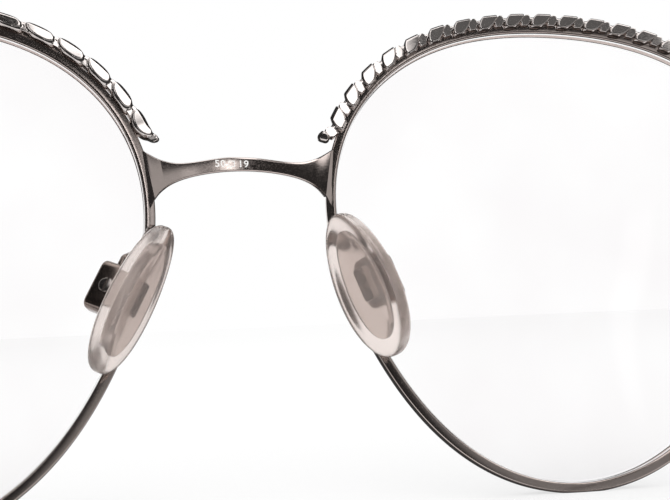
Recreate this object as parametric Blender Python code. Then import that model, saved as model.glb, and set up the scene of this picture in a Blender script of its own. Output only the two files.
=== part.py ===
# Round metal eyeglasses with twisted rope trims and screw-on nose pads.
# Metres, +Z up, +X towards the wearer's left, the front faces -Y, the temples run towards +Y.
import math

import bpy
import numpy as np
from mathutils import Matrix, Vector

for item in list(bpy.data.objects):
    bpy.data.objects.remove(item, do_unlink=True)

mm = 0.001

# lenses and rims
lensWidth = 50.0 * mm
lensHeight = 50.2 * mm
lensRoundness = 0.052
lensSkew = 0.016
bridgeWidth = 19.0 * mm
lensThickness = 1.5 * mm
lensBulge = 3.0 * mm
rimLip = 0.5 * mm
rimBack = 0.55 * mm
rimHalfDepth = 0.9 * mm
grooveHalfWidth = 0.42 * mm
lensSeat = 0.05 * mm
rimGap = 0.3 * mm
wrapAngle = math.radians(6.0)
frontTilt = math.radians(8.0)
rimSteps = 66
restFlat = 0.32 * mm

# rope trims, one for each side
ropeLeftPitch = 3.49 * mm
ropeRightPitch = 3.06 * mm
ropeLeftFirst = 1.64 * mm
ropeRightFirst = 0.68 * mm
ropeLeftSize = 0.94
ropeRightSize = 1.0
ropeLeftOut = 0.8 * mm
ropeRightOut = 0.37 * mm
ropeHalfWide = 0.96 * mm
ropeHalfThick = 0.52 * mm
ropeRound = 0.36 * mm
ropeLift = 0.2 * mm
ropeStart = math.radians(29.5)
ropeEnd = math.radians(153.0)
seatGap = 0.03 * mm

# bridge
bridgeHeight = 10.9 * mm
bridgeHalfDepth = 0.85 * mm
bridgeTopRise = 0.53 * mm
bridgeTopDip = 0.73 * mm
bridgeTopFlare = 11.9 * mm
bridgeBottomDrop = 1.09 * mm
bridgeBottomArch = 2.14 * mm
bridgeBottomFlare = 1.09 * mm
bridgeChamfer = 0.14 * mm
bridgeBow = 0.8 * mm

# nose pads, their boxes and wires
padLength = 15.2 * mm
padWidth = 7.5 * mm
padThickness = 2.7 * mm
padX = 11.25 * mm
padY = 6.0 * mm
padHeightLeft = -4.3 * mm
padHeightRight = -3.8 * mm
padLeanLeft = math.radians(26.6)
padLeanRight = math.radians(18.4)
padSplayLeft = math.radians(17.0)
padSplayRight = math.radians(31.0)
coreLength = 11.4 * mm
coreWidth = 4.4 * mm
coreThickness = 0.7 * mm
footLength = 3.4 * mm
footWidth = 1.3 * mm
boxLength = 5.0 * mm
boxWidth = 2.5 * mm
boxWall = 0.42 * mm
boxFloor = 0.45 * mm
padScrewRadius = 0.42 * mm
padScrewHead = 0.72 * mm
padScrewHeadHeight = 0.4 * mm
screwRunning = 0.05 * mm
wireRadius = 0.45 * mm
wireAngle = math.radians(172.5)
wireLift = 0.8 * mm
wireEntry = 0.83 * mm
wireAbove = 2.5 * mm
wireForward = 1.25 * mm
wireBehind = 0.5 * mm

# end pieces, closing blocks and hinges
hingeOutside = 6.174 * mm
hingeBehind = 7.774 * mm
hingeRise = 6.6 * mm
endHeight = 3.0 * mm
endThickness = 1.3 * mm
blockHeight = 1.5 * mm
blockWidth = 2.3 * mm
blockDepth = 2.2 * mm
rimScrewRadius = 0.45 * mm
rimScrewHead = 0.8 * mm
rimScrewHeadHeight = 0.35 * mm
barrelRadius = 1.1 * mm
barrelLength = 1.0 * mm
barrelGap = 0.06 * mm
hingePinRadius = 0.5 * mm
hingePinRunning = 0.04 * mm
hingeHeadRadius = 0.85 * mm
hingeHeadHeight = 0.4 * mm
leafThickness = 0.6 * mm
leafLength = 4.6 * mm

# temples and tips
templeLength = 145.0 * mm
templeThickness = 1.1 * mm
templeHeight = 3.0 * mm
templeTailHeight = 2.0 * mm
templeBendAt = 98.0 * mm
templeBendBefore = 9.0 * mm
templeBendAfter = 13.0 * mm
templeInward = math.radians(2.0)
templeInwardFrom = 20.0 * mm
templeInwardTo = 60.0 * mm
tipInward = math.radians(4.0)
tipInwardLength = 30.0 * mm
rodShort = 14.0 * mm
tipFlat = 0.3 * mm
tipStart = 78.0 * mm
tipWallSide = 0.75 * mm
tipWallUp = 0.9 * mm

halfGap = bridgeWidth / 2.0
halfLens = lensWidth / 2.0
hingeX = halfGap + lensWidth * math.cos(wrapAngle) + hingeOutside
hingeY = lensWidth * math.sin(wrapAngle) + hingeBehind


def material(name, colour, roughness, metallic, alpha=1.0):
    made = bpy.data.materials.new(name)
    made.use_nodes = True
    shader = made.node_tree.nodes["Principled BSDF"]
    shader.inputs["Base Color"].default_value = (*colour, 1.0)
    shader.inputs["Roughness"].default_value = roughness
    shader.inputs["Metallic"].default_value = metallic
    shader.inputs["Alpha"].default_value = alpha
    return made


gunmetal = material("gunmetal", (0.36, 0.32, 0.31), 0.14, 1.0)
ropeMetal = material("rope_metal", (0.46, 0.43, 0.42), 0.12, 1.0)
lensPlastic = material("lens_plastic", (0.95, 0.95, 0.95), 0.03, 0.0, 0.2)
silicone = material("silicone", (0.86, 0.80, 0.77), 0.35, 0.0, 0.6)
corePlastic = material("core_plastic", (0.78, 0.72, 0.69), 0.3, 0.0, 0.7)
screwSteel = material("screw_steel", (0.62, 0.60, 0.59), 0.2, 1.0)
tipPlastic = material("tip_plastic", (0.09, 0.08, 0.08), 0.3, 0.0)


def addMesh(name, points, faces, slot, smoothAngle=35.0):
    mesh = bpy.data.meshes.new(name)
    mesh.from_pydata([tuple(p) for p in points], [], faces)
    mesh.materials.append(slot)
    made = bpy.data.objects.new(name, mesh)
    bpy.context.collection.objects.link(made)
    mesh.shade_smooth()
    mesh.set_sharp_from_angle(angle=math.radians(smoothAngle))
    return made


def gridFaces(rows, columns, closedRows, closedColumns=True):
    faces = []
    for i in range(rows if closedRows else rows - 1):
        for j in range(columns if closedColumns else columns - 1):
            a = i * columns + j
            b = i * columns + (j + 1) % columns
            c = ((i + 1) % rows) * columns + (j + 1) % columns
            d = ((i + 1) % rows) * columns + j
            faces.append((a, b, c, d))
    return faces


def signedVolume(points, faces):
    total = 0.0
    for face in faces:
        first = Vector(points[face[0]])
        for k in range(1, len(face) - 1):
            total += first.dot(Vector(points[face[k]]).cross(Vector(points[face[k + 1]])))
    return total


def sweep(name, sections, slot, closed=False, smoothAngle=35.0):
    """sections: list of equal rings of points; open sweeps are capped with flat fans."""
    rows = len(sections)
    columns = len(sections[0])
    points = [p for ring in sections for p in ring]
    faces = gridFaces(rows, columns, closed)
    if not closed:
        faces.append(tuple(range(columns - 1, -1, -1)))
        faces.append(tuple((rows - 1) * columns + j for j in range(columns)))
    if signedVolume(points, faces) < 0:
        faces = [tuple(reversed(face)) for face in faces]
    return addMesh(name, points, faces, slot, smoothAngle)


def lensOutline(count=720):
    """The lens edge in its own plane: a circle with a flattened top and fuller upper corners."""
    t = np.linspace(0.0, 2.0 * math.pi, count, endpoint=False)
    r = 1.0 + lensRoundness * np.sin(3.0 * t) + lensSkew * np.cos(3.0 * t)
    u = r * np.cos(t)
    v = r * np.sin(t)
    u = (u - (u.max() + u.min()) / 2.0) * lensWidth / (u.max() - u.min())
    v = (v - (v.max() + v.min()) / 2.0) * lensHeight / (v.max() - v.min())
    return u, v


outlineU, outlineV = lensOutline()
outlineT = np.unwrap(np.arctan2(outlineV, outlineU))


def edgePoint(angle, out=0.0):
    """Point of the lens edge at an angle seen from the lens centre, moved outwards by out."""
    wrapped = (angle - outlineT[0]) % (2.0 * math.pi) + outlineT[0]
    us = np.append(outlineU, outlineU[0])
    vs = np.append(outlineV, outlineV[0])
    ts = np.append(outlineT, outlineT[0] + 2.0 * math.pi)
    u = np.interp(wrapped, ts, us)
    v = np.interp(wrapped, ts, vs)
    step = 0.01
    wrappedA = (angle - step - outlineT[0]) % (2.0 * math.pi) + outlineT[0]
    wrappedB = (angle + step - outlineT[0]) % (2.0 * math.pi) + outlineT[0]
    du = np.interp(wrappedB, ts, us) - np.interp(wrappedA, ts, us)
    dv = np.interp(wrappedB, ts, vs) - np.interp(wrappedA, ts, vs)
    size = math.hypot(du, dv)
    return u + out * dv / size, v - out * du / size, dv / size, -du / size


def place(side, u, v, depth):
    """Lens plane to the row frame: wrapped about the vertical, then tilted; depth is towards the wearer."""
    c = math.cos(wrapAngle)
    s = math.sin(wrapAngle)
    x = side * (halfGap + halfLens * c + u * c - depth * s)
    y = halfLens * s + u * s + depth * c
    return tilt((x, y, v))


lowestEdge = float(outlineV.min()) - rimBack


def tilt(p):
    """The front leans: its top goes forwards, about a level line under the rims, which rest at z = 0."""
    c = math.cos(frontTilt)
    s = math.sin(frontTilt)
    rise = p[2] - lowestEdge
    return Vector((p[0], p[1] * c - rise * s, p[1] * s + rise * c + floorLift))


floorLift = 0.0
lowest = min(place(1, *edgePoint(a, rimBack)[:2], d)[2]
             for a in np.linspace(math.radians(250), math.radians(290), 81)
             for d in (-rimHalfDepth + 0.2 * mm, rimHalfDepth - 0.2 * mm))
floorLift = -lowest - restFlat


def flatten(obj, height=0.0):
    """A small real flat where a piece rests: points under it are lifted to the plane."""
    for vertex in obj.data.vertices:
        if vertex.co.z < height:
            vertex.co.z = height
    return obj


closeAngle = math.asin(hingeRise / halfLens) + math.radians(1.0)


def buildRim(side, label):
    """A wire bent round the lens with a V groove inside, split at the closing block."""
    half = (rimGap / 2.0) / halfLens
    angles = np.linspace(closeAngle + half, closeAngle + 2.0 * math.pi - half, rimSteps)
    profile = [
        (-rimLip, grooveHalfWidth), (-rimLip, rimHalfDepth),
        (rimBack - 0.2 * mm, rimHalfDepth), (rimBack, rimHalfDepth - 0.2 * mm),
        (rimBack, -rimHalfDepth + 0.2 * mm), (rimBack - 0.2 * mm, -rimHalfDepth),
        (-rimLip, -rimHalfDepth), (-rimLip, -grooveHalfWidth),
        (lensSeat, 0.0)]
    rings = []
    for a in angles:
        u, v, nu, nv = edgePoint(a)
        rings.append([place(side, u + n * nu, v + n * nv, d) for n, d in profile])
    return flatten(sweep(label + "_rim", rings, gunmetal, smoothAngle=40.0))


def buildLens(side, label):
    """A curved lens with a bevelled edge that sits in the rim's groove."""
    count = rimSteps
    angles = np.linspace(closeAngle, closeAngle + 2.0 * math.pi, count, endpoint=False)
    half = lensThickness / 2.0
    bevelIn = rimLip + lensSeat
    bevelHalf = grooveHalfWidth * 0.93
    rings = []
    for part, inset, d in (("face", 0.5, 1), ("face", 1.0, 1), ("bevel", bevelIn, bevelHalf),
                           ("bevel", 0.0, 0.0), ("bevel", bevelIn, -bevelHalf), ("face", 1.0, -1),
                           ("face", 0.5, -1)):
        ring = []
        for a in angles:
            u, v, nu, nv = edgePoint(a)
            if part == "bevel":
                ring.append(place(side, u - inset * nu, v - inset * nv, d))
            else:
                eu = u - (bevelIn + 0.02 * mm) * nu
                ev = v - (bevelIn + 0.02 * mm) * nv
                ring.append(place(side, eu * inset, ev * inset, d * half - lensBulge * (1.0 - inset * inset)))
        rings.append(ring)
    points = [p for ring in rings for p in ring]
    faces = gridFaces(len(rings), count, False)
    rear = len(points)
    points.append(place(side, 0.0, 0.0, half - lensBulge))
    front = len(points)
    points.append(place(side, 0.0, 0.0, -half - lensBulge))
    last = (len(rings) - 1) * count
    for j in range(count):
        k = (j + 1) % count
        faces.append((rear, k, j))
        faces.append((front, last + j, last + k))
    if signedVolume(points, faces) < 0:
        faces = [tuple(reversed(face)) for face in faces]
    return addMesh(label + "_lens", points, faces, lensPlastic, 25.0)


def stripReach(direction, turn, size):
    """How far the flat wire reaches from a point just behind its middle, in one direction."""
    corner = ropeRound * size
    wide = ropeHalfWide * size - corner
    thick = ropeHalfThick * size - corner
    low, high = 0.0, 2.0 * ropeHalfWide * size
    for step in range(30):
        r = (low + high) / 2.0
        n = r * math.cos(direction)
        d = r * math.sin(direction) + ropeLift
        across = abs(n * math.cos(turn) + d * math.sin(turn)) - wide
        through = abs(d * math.cos(turn) - n * math.sin(turn)) - thick
        far = math.hypot(max(across, 0.0), max(through, 0.0)) + min(max(across, through), 0.0)
        if far < corner:
            low = r
        else:
            high = r
    return low


def buildRope(side, label, pitch, first, size, ropeOut):
    """A flat wire twisted along its length and notched to sit over the rim's outer rear corner."""
    fine = np.linspace(ropeStart, ropeEnd, 600)
    track = [edgePoint(a, rimBack + ropeOut) for a in fine]
    steps = [0.0]
    for p, q in zip(track[:-1], track[1:]):
        steps.append(steps[-1] + math.hypot(q[0] - p[0], q[1] - p[1]))
    length = steps[-1]
    count = round(length / pitch * 5) + 1
    directions = [math.pi * k / 8.0 for k in range(9)] + [math.radians(187.0)]
    directions += [math.pi * k / 8.0 for k in range(9, 16)]
    rings = []
    for i in range(count):
        along = length * i / (count - 1)
        a = float(np.interp(along, steps, fine))
        u, v, nu, nv = edgePoint(a, rimBack + ropeOut)
        turn = math.pi * (along - first) / pitch
        toEnd = min(along, length - along)
        shrink = math.sqrt(max(0.0, 1.0 - max(0.0, 1.0 - toEnd / (1.0 * mm)) ** 2 * 0.8))
        ring = []
        for direction in directions:
            r = stripReach(direction, turn, size)
            if direction > math.pi and math.cos(direction) < -0.01:
                r = min(r, (ropeOut - seatGap) / -math.cos(direction))
            n = r * shrink * math.cos(direction)
            d = r * shrink * math.sin(direction) + rimHalfDepth + seatGap + 0.02 * mm
            ring.append(place(side, u + n * nu, v + n * nv, d))
        rings.append(ring)
    return sweep(label + "_rope_trim", rings, ropeMetal, smoothAngle=60.0)


def smooth(x, low, high):
    t = min(1.0, max(0.0, (x - low) / (high - low)))
    return t * t * (3.0 - 2.0 * t)


def bridgeEdges(s):
    """Top and bottom height of the bar at s, from -1 at one rim to 1 at the other."""
    w = abs(s)
    top = bridgeTopRise - bridgeTopDip * smooth(w, 0.05, 0.7) + bridgeTopFlare * max(0.0, w - 0.66) ** 2.2
    bottom = -bridgeBottomDrop - bridgeBottomArch * w ** 2 - bridgeBottomFlare * w ** 8
    return top, bottom


def rimNasalX(z, out):
    """X of the rim's outer face on the nose side, at a height from the lens centre, before tilting."""
    angles = np.linspace(math.radians(120), math.radians(200), 240)
    pts = [edgePoint(a, out) for a in angles]
    order = sorted((p[1], p[0]) for p in pts)
    u = float(np.interp(z, [o[0] for o in order], [o[1] for o in order]))
    return halfGap + halfLens * math.cos(wrapAngle) + u * math.cos(wrapAngle)


bridgeLevels = ((-1.0, 0.0, bridgeChamfer), (-1.0, bridgeChamfer, 0.0), (-0.7, 0.0, 0.0), (-0.4, 0.0, 0.0),
                (-0.13, 0.0, 0.0), (0.13, 0.0, 0.0), (0.4, 0.0, 0.0), (0.7, 0.0, 0.0),
                (1.0, bridgeChamfer, 0.0), (1.0, 0.0, bridgeChamfer))


def buildBridge():
    """A saddle bar whose ends flare where they are soldered to the two rims."""
    points = []
    stations = 25
    levels = len(bridgeLevels)
    columns = 2 * levels
    for i in range(stations):
        s = -1.0 + 2.0 * i / (stations - 1)
        s = math.copysign(abs(s) ** 0.85, s)
        top, bottom = bridgeEdges(s)
        mid = (top + bottom) / 2.0
        tall = (top - bottom) / 2.0
        bow = -bridgeBow * (1.0 - s * s)
        rear = [(level, inset, bridgeHalfDepth - cut) for level, inset, cut in bridgeLevels]
        fore = [(level, inset, cut - bridgeHalfDepth) for level, inset, cut in reversed(bridgeLevels)]
        for level, inset, depth in rear + fore:
            z = bridgeHeight + mid + tall * level - math.copysign(inset, level)
            y = bow + depth
            reach = rimNasalX(z, rimBack) - seatGap - 0.08 * mm
            points.append(tilt((s * reach, y, z)))
    faces = gridFaces(stations, columns, False)
    last = (stations - 1) * columns
    for k in range(levels - 1):
        a, b, c, d = k, k + 1, columns - 2 - k, columns - 1 - k
        faces.append((d, c, b, a))
        faces.append((last + a, last + b, last + c, last + d))
    if signedVolume(points, faces) < 0:
        faces = [tuple(reversed(face)) for face in faces]
    return addMesh("bridge", points, faces, gunmetal, 40.0)


def padAxes(side):
    """Pad directions: up along the pad, across it towards the wearer, and out of its bearing face."""
    lean = padLeanLeft if side > 0 else padLeanRight
    up = Vector((-side * math.sin(lean), -0.05, math.cos(lean))).normalized()
    splay = padSplayLeft if side > 0 else padSplayRight
    face = Vector((-side * math.cos(splay), math.sin(splay), 0.0))
    face = (face - face.dot(up) * up).normalized()
    across = side * face.cross(up).normalized()
    return up, across, face


def padPoint(side, along, wide, out):
    """Pad frame to the row frame."""
    up, across, face = padAxes(side)
    centre = Vector((side * padX, padY, padHeightLeft if side > 0 else padHeightRight))
    return tilt(centre + along * up + wide * across + out * face)


def padOutline(angle, length, width):
    """A long oval, a little fuller towards the bottom."""
    along = length / 2.0 * math.cos(angle)
    wide = width / 2.0 * math.sin(angle) * (1.0 - 0.10 * math.cos(angle))
    return along, wide


footBack = -(padThickness / 2.0 + 1.75 * mm)
pivotOut = -(padThickness / 2.0 + 0.95 * mm)
boxOuter = footBack - 0.4 * mm - boxFloor


def buildPad(side, label):
    """A soft oval pad moulded round its core; the core's foot leaves through the back."""
    around = 24
    half = padThickness / 2.0
    points = []
    faces = []
    profile = [(0.50, half * 0.97), (0.86, half * 0.80), (0.965, half * 0.42), (1.0, 0.0),
               (0.965, -half * 0.42), (0.86, -half * 0.80), (0.66, -half * 0.98)]
    loops = []
    for t, out in profile:
        loop = []
        for j in range(around):
            along, wide = padOutline(2.0 * math.pi * j / around, padLength * t, padWidth * t)
            loop.append(len(points))
            points.append(padPoint(side, along, wide, out))
        loops.append(loop)
    clear = 0.06 * mm

    def boxLoop(length, width, out):
        loop = []
        for j in range(around):
            a = 2.0 * math.pi * j / around
            ca = math.copysign(abs(math.cos(a)) ** 0.35, math.cos(a))
            sa = math.copysign(abs(math.sin(a)) ** 0.35, math.sin(a))
            loop.append(len(points))
            points.append(padPoint(side, length / 2.0 * ca, width / 2.0 * sa, out))
        return loop

    def ovalLoop(length, width, out):
        loop = []
        for j in range(around):
            along, wide = padOutline(2.0 * math.pi * j / around, length, width)
            loop.append(len(points))
            points.append(padPoint(side, along, wide, out))
        return loop

    loops.append(boxLoop(footLength + 2 * clear, footWidth + 2 * clear, -half * 0.98))
    loops.append(boxLoop(footLength + 2 * clear, footWidth + 2 * clear, -coreThickness / 2.0 - clear))
    loops.append(ovalLoop(coreLength + 2 * clear, coreWidth + 2 * clear, -coreThickness / 2.0 - clear))
    loops.append(ovalLoop(coreLength + 2 * clear, coreWidth + 2 * clear, coreThickness / 2.0 + clear))
    for a, b in zip(loops[:-1], loops[1:]):
        for j in range(around):
            k = (j + 1) % around
            faces.append((a[j], a[k], b[k], b[j]))
    front = len(points)
    points.append(padPoint(side, 0.0, 0.0, half * 0.88))
    inner = len(points)
    points.append(padPoint(side, 0.0, 0.0, coreThickness / 2.0 + clear))
    for j in range(around):
        k = (j + 1) % around
        faces.append((front, loops[0][k], loops[0][j]))
        faces.append((inner, loops[-1][j], loops[-1][k]))
    if signedVolume(points, faces) < 0:
        faces = [tuple(reversed(face)) for face in faces]
    return addMesh(label + "_nose_pad", points, faces, silicone, 40.0)


def roundRing(centre, radius, e1, e2, around):
    """A ring of points about a centre, in the plane of two directions."""
    turns = [2.0 * math.pi * (k + 0.5) / around for k in range(around)]
    return [centre + radius * (math.cos(t) * e1 + math.sin(t) * e2) for t in turns]


def cylinderBetween(name, start, end, radius, slot, around=16):
    """A round bar from one point to another."""
    start = Vector(start)
    end = Vector(end)
    axis = (end - start).normalized()
    helper = Vector((0.0, 0.0, 1.0)) if abs(axis.z) < 0.9 else Vector((1.0, 0.0, 0.0))
    e1 = axis.cross(helper).normalized()
    e2 = axis.cross(e1).normalized()
    rings = [roundRing(p, radius, e1, e2, around) for p in (start, end)]
    return sweep(name, rings, slot, smoothAngle=40.0)


def cut(target, cutter, mode="DIFFERENCE"):
    """A Boolean that stays live on the target; the cutter is hidden."""
    cutter.hide_render = True
    cutter.hide_set(True)
    cutter.display_type = "WIRE"
    step = target.modifiers.new(mode.lower(), "BOOLEAN")
    step.operation = mode
    step.solver = "EXACT"
    step.object = cutter


def steppedBar(name, start, axis, stages, slot, around=16):
    """A turned piece: stages is a list of (distance along the axis, radius)."""
    axis = Vector(axis).normalized()
    helper = Vector((0.0, 0.0, 1.0)) if abs(axis.z) < 0.9 else Vector((1.0, 0.0, 0.0))
    e1 = axis.cross(helper).normalized()
    e2 = axis.cross(e1).normalized()
    rings = []
    for distance, radius in stages:
        rings.append(roundRing(Vector(start) + distance * axis, radius, e1, e2, around))
    return sweep(name, rings, slot, smoothAngle=40.0)


def buildCore(side, label):
    """The pad's hard core: a thin oval plate and the block that is screwed into the box."""
    around = 24
    points = []
    loops = []
    half = coreThickness / 2.0
    for scale, out in ((0.9, half), (1.0, half * 0.6), (1.0, -half)):
        loop = []
        for j in range(around):
            along, wide = padOutline(2.0 * math.pi * j / around, coreLength * scale, coreWidth * scale)
            loop.append(len(points))
            points.append(padPoint(side, along, wide, out))
        loops.append(loop)
    for out in (-half, footBack):
        loop = []
        for j in range(around):
            a = 2.0 * math.pi * j / around
            ca = math.copysign(abs(math.cos(a)) ** 0.3, math.cos(a))
            sa = math.copysign(abs(math.sin(a)) ** 0.3, math.sin(a))
            loop.append(len(points))
            points.append(padPoint(side, footLength / 2.0 * ca, footWidth / 2.0 * sa, out))
        loops.append(loop)
    faces = []
    for a, b in zip(loops[:-1], loops[1:]):
        for j in range(around):
            k = (j + 1) % around
            faces.append((a[j], a[k], b[k], b[j]))
    faces.append(tuple(reversed(loops[0])))
    faces.append(tuple(loops[-1]))
    if signedVolume(points, faces) < 0:
        faces = [tuple(reversed(face)) for face in faces]
    made = addMesh(label + "_pad_core", points, faces, corePlastic, 40.0)
    start = padPoint(side, 0.0, -boxWidth, pivotOut)
    end = padPoint(side, 0.0, boxWidth, pivotOut)
    cutter = cylinderBetween(label + "_core_hole", start, end, padScrewRadius + screwRunning, corePlastic, 16)
    cut(made, cutter)
    return made


def boxSolid(name, side, low, high, slot):
    """A block with corners given in the pad frame (along, across, out)."""
    points = []
    for out in (low[2], high[2]):
        for along, wide in ((low[0], low[1]), (high[0], low[1]), (high[0], high[1]), (low[0], high[1])):
            points.append(padPoint(side, along, wide, out))
    faces = [(0, 3, 2, 1), (4, 5, 6, 7), (0, 1, 5, 4), (1, 2, 6, 5), (2, 3, 7, 6), (3, 0, 4, 7)]
    if signedVolume(points, faces) < 0:
        faces = [tuple(reversed(face)) for face in faces]
    return addMesh(name, points, faces, slot)


boxMouth = -(padThickness / 2.0) - 0.32 * mm


def buildBox(side, label):
    """The metal box on the wire's end: open towards the pad, with a wall each side of the foot."""
    made = boxSolid(label + "_pad_box", side, (-boxLength / 2, -boxWidth / 2, boxOuter),
                    (boxLength / 2, boxWidth / 2, boxMouth), gunmetal)
    bevel = made.modifiers.new("edges", "BEVEL")
    bevel.width = 0.22 * mm
    bevel.segments = 2
    bevel.limit_method = "ANGLE"
    pocket = boxSolid(label + "_box_pocket", side,
                      (-boxLength / 2 + boxWall, -boxWidth / 2 + boxWall, boxOuter + boxFloor),
                      (boxLength / 2 - boxWall, boxWidth / 2 - boxWall, boxMouth + 1.0 * mm), gunmetal)
    cut(made, pocket)
    start = padPoint(side, 0.0, -2.0 * boxWidth, pivotOut)
    end = padPoint(side, 0.0, 2.0 * boxWidth, pivotOut)
    hole = cylinderBetween(label + "_box_hole", start, end, padScrewRadius + 0.03 * mm, gunmetal, 16)
    cut(made, hole)
    return made


def buildPadScrew(side, label):
    """The small screw across the box; its slotted head is on the wearer's side."""
    up, across, face = padAxes(side)
    start = padPoint(side, 0.0, boxWidth / 2.0 + 0.03 * mm + padScrewHeadHeight, pivotOut)
    end = padPoint(side, 0.0, -boxWidth / 2.0, pivotOut)
    span = (end - start).length
    stages = [(0.0, padScrewHead * 0.8), (0.14 * mm, padScrewHead), (padScrewHeadHeight, padScrewHead),
              (padScrewHeadHeight, padScrewRadius), (span - 0.1 * mm, padScrewRadius),
              (span, padScrewRadius * 0.8)]
    made = steppedBar(label + "_pad_screw", start, end - start, stages, screwSteel)
    slotFloor = boxWidth / 2.0 + 0.03 * mm + padScrewHeadHeight - 0.18 * mm
    low = (-padScrewHead * 1.5, slotFloor, pivotOut - 0.12 * mm)
    high = (padScrewHead * 1.5, boxWidth / 2.0 + 2.0 * mm, pivotOut + 0.12 * mm)
    cut(made, boxSolid(label + "_pad_screw_slot", side, low, high, screwSteel))
    return made


def bezier(points, count):
    """Smooth curve through the given points, by Catmull-Rom spans."""
    pts = [Vector(p) for p in points]
    pts = [2 * pts[0] - pts[1]] + pts + [2 * pts[-1] - pts[-2]]
    spans = len(pts) - 3
    out = []
    for i in range(count):
        f = i / (count - 1) * spans
        k = min(int(f), spans - 1)
        t = f - k
        a, b, c, d = pts[k:k + 4]
        out.append(0.5 * ((2 * b) + (c - a) * t + (2 * a - 5 * b + 4 * c - d) * t * t
                          + (3 * b - a - 3 * c + d) * t ** 3))
    return out


def tube(name, route, radius, slot, around=10, taperEnd=1.0):
    """A round wire along a route, with square ends."""
    rings = []
    normal = None
    for i, p in enumerate(route):
        before = route[max(0, i - 1)]
        after = route[min(len(route) - 1, i + 1)]
        axis = (after - before).normalized()
        if normal is None:
            helper = Vector((0.0, 0.0, 1.0)) if abs(axis.z) < 0.9 else Vector((1.0, 0.0, 0.0))
            normal = axis.cross(helper).normalized()
        normal = (normal - normal.dot(axis) * axis).normalized()
        binormal = axis.cross(normal)
        r = radius * (1.0 + (taperEnd - 1.0) * i / (len(route) - 1))
        rings.append([p + r * (math.cos(2 * math.pi * k / around) * normal
                               + math.sin(2 * math.pi * k / around) * binormal) for k in range(around)])
    return sweep(name, rings, slot, smoothAngle=60.0)


def buildWire(side, label):
    """The wire from the rim's rear face, back past the pad's outer side and down onto the box's top end."""
    u, v, nu, nv = edgePoint(wireAngle, rimBack * 0.2)
    foot = place(side, u, v, rimHalfDepth + seatGap)
    lift = place(side, u, v, rimHalfDepth + wireLift)
    entry = boxMouth - wireEntry
    end = padPoint(side, boxLength / 2.0 + seatGap, 0.0, entry)
    before = padPoint(side, boxLength / 2.0 + wireLift, 0.0, entry)
    middle = padPoint(side, boxLength / 2.0 + wireAbove, -boxWidth / 2.0 - wireForward, entry - wireBehind)
    route = [foot] + bezier([lift, middle, before], 13) + [end]
    return tube(label + "_pad_arm", route, wireRadius, gunmetal, 8)


def hingeHeight():
    return tilt((0.0, 0.0, hingeRise))[2]


hingeZ = hingeHeight()


def blockFrame(side):
    """Axes of the closing block: along the rim (upwards), outwards and back."""
    u, v, nu, nv = edgePoint(closeAngle)
    origin = place(side, u, v, 0.0)
    out = (place(side, u + nu * mm, v + nv * mm, 0.0) - origin).normalized()
    back = (place(side, u, v, mm) - origin).normalized()
    along = (place(side, u - nv * mm, v + nu * mm, 0.0) - origin).normalized()
    return origin, along, out, back


def barCorners(t, h, c):
    """The eight corners of a flat bar's section with cut edges."""
    quarter = [(t, h - c), (t - c, h), (-t + c, h), (-t, h - c)]
    return quarter + [(-q, -w) for q, w in quarter]


def buildEndPiece(side, label):
    """A flat bar from the closing block's outer side, curving back to carry the front leaf of the hinge."""
    origin, along, out, back = blockFrame(side)
    start = origin + (rimBack + blockWidth) * out
    outer = side * (hingeX + barrelRadius - 0.2 * mm)
    z0 = hingeZ
    route = [start, start + 1.2 * mm * out,
             Vector((outer + side * 0.5 * mm, start.y + 2.0 * mm, z0)),
             Vector((outer + side * 1.2 * mm, start.y + 4.6 * mm, z0)),
             Vector((outer + side * 1.3 * mm, hingeY - 2.0 * mm, z0)),
             Vector((outer + side * 1.3 * mm, hingeY + 0.9 * mm, z0))]
    pts = bezier(route, 15)
    rings = []
    for i, p in enumerate(pts):
        before = pts[max(0, i - 1)]
        after = pts[min(len(pts) - 1, i + 1)]
        axis = (after - before).normalized() if i else out
        lean = smooth(i, 1, 8)
        up = (along * (1.0 - lean) + Vector((0.0, 0.0, 1.0)) * lean).normalized()
        sideways = axis.cross(up).normalized()
        up = sideways.cross(axis).normalized()
        t = endThickness / 2.0
        h = endHeight / 2.0
        c = 0.3 * mm
        ring = []
        for q, w in barCorners(t, h, c):
            ring.append(p + q * sideways + w * up)
        rings.append(ring)
    return sweep(label + "_end_piece", rings, gunmetal, smoothAngle=40.0)


def blockSolid(name, side, lowAlong, highAlong, innerOut, outerOut, halfBack, slot):
    origin, along, out, back = blockFrame(side)
    points = []
    for b in (-halfBack, halfBack):
        lowSide = ((lowAlong, innerOut), (highAlong, innerOut))
        highSide = ((highAlong, outerOut), (lowAlong, outerOut))
        for a, o in lowSide + highSide:
            points.append(origin + a * along + o * out + b * back)
    faces = [(0, 3, 2, 1), (4, 5, 6, 7), (0, 1, 5, 4), (1, 2, 6, 5), (2, 3, 7, 6), (3, 0, 4, 7)]
    if signedVolume(points, faces) < 0:
        faces = [tuple(reversed(face)) for face in faces]
    return addMesh(name, points, faces, slot)


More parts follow.
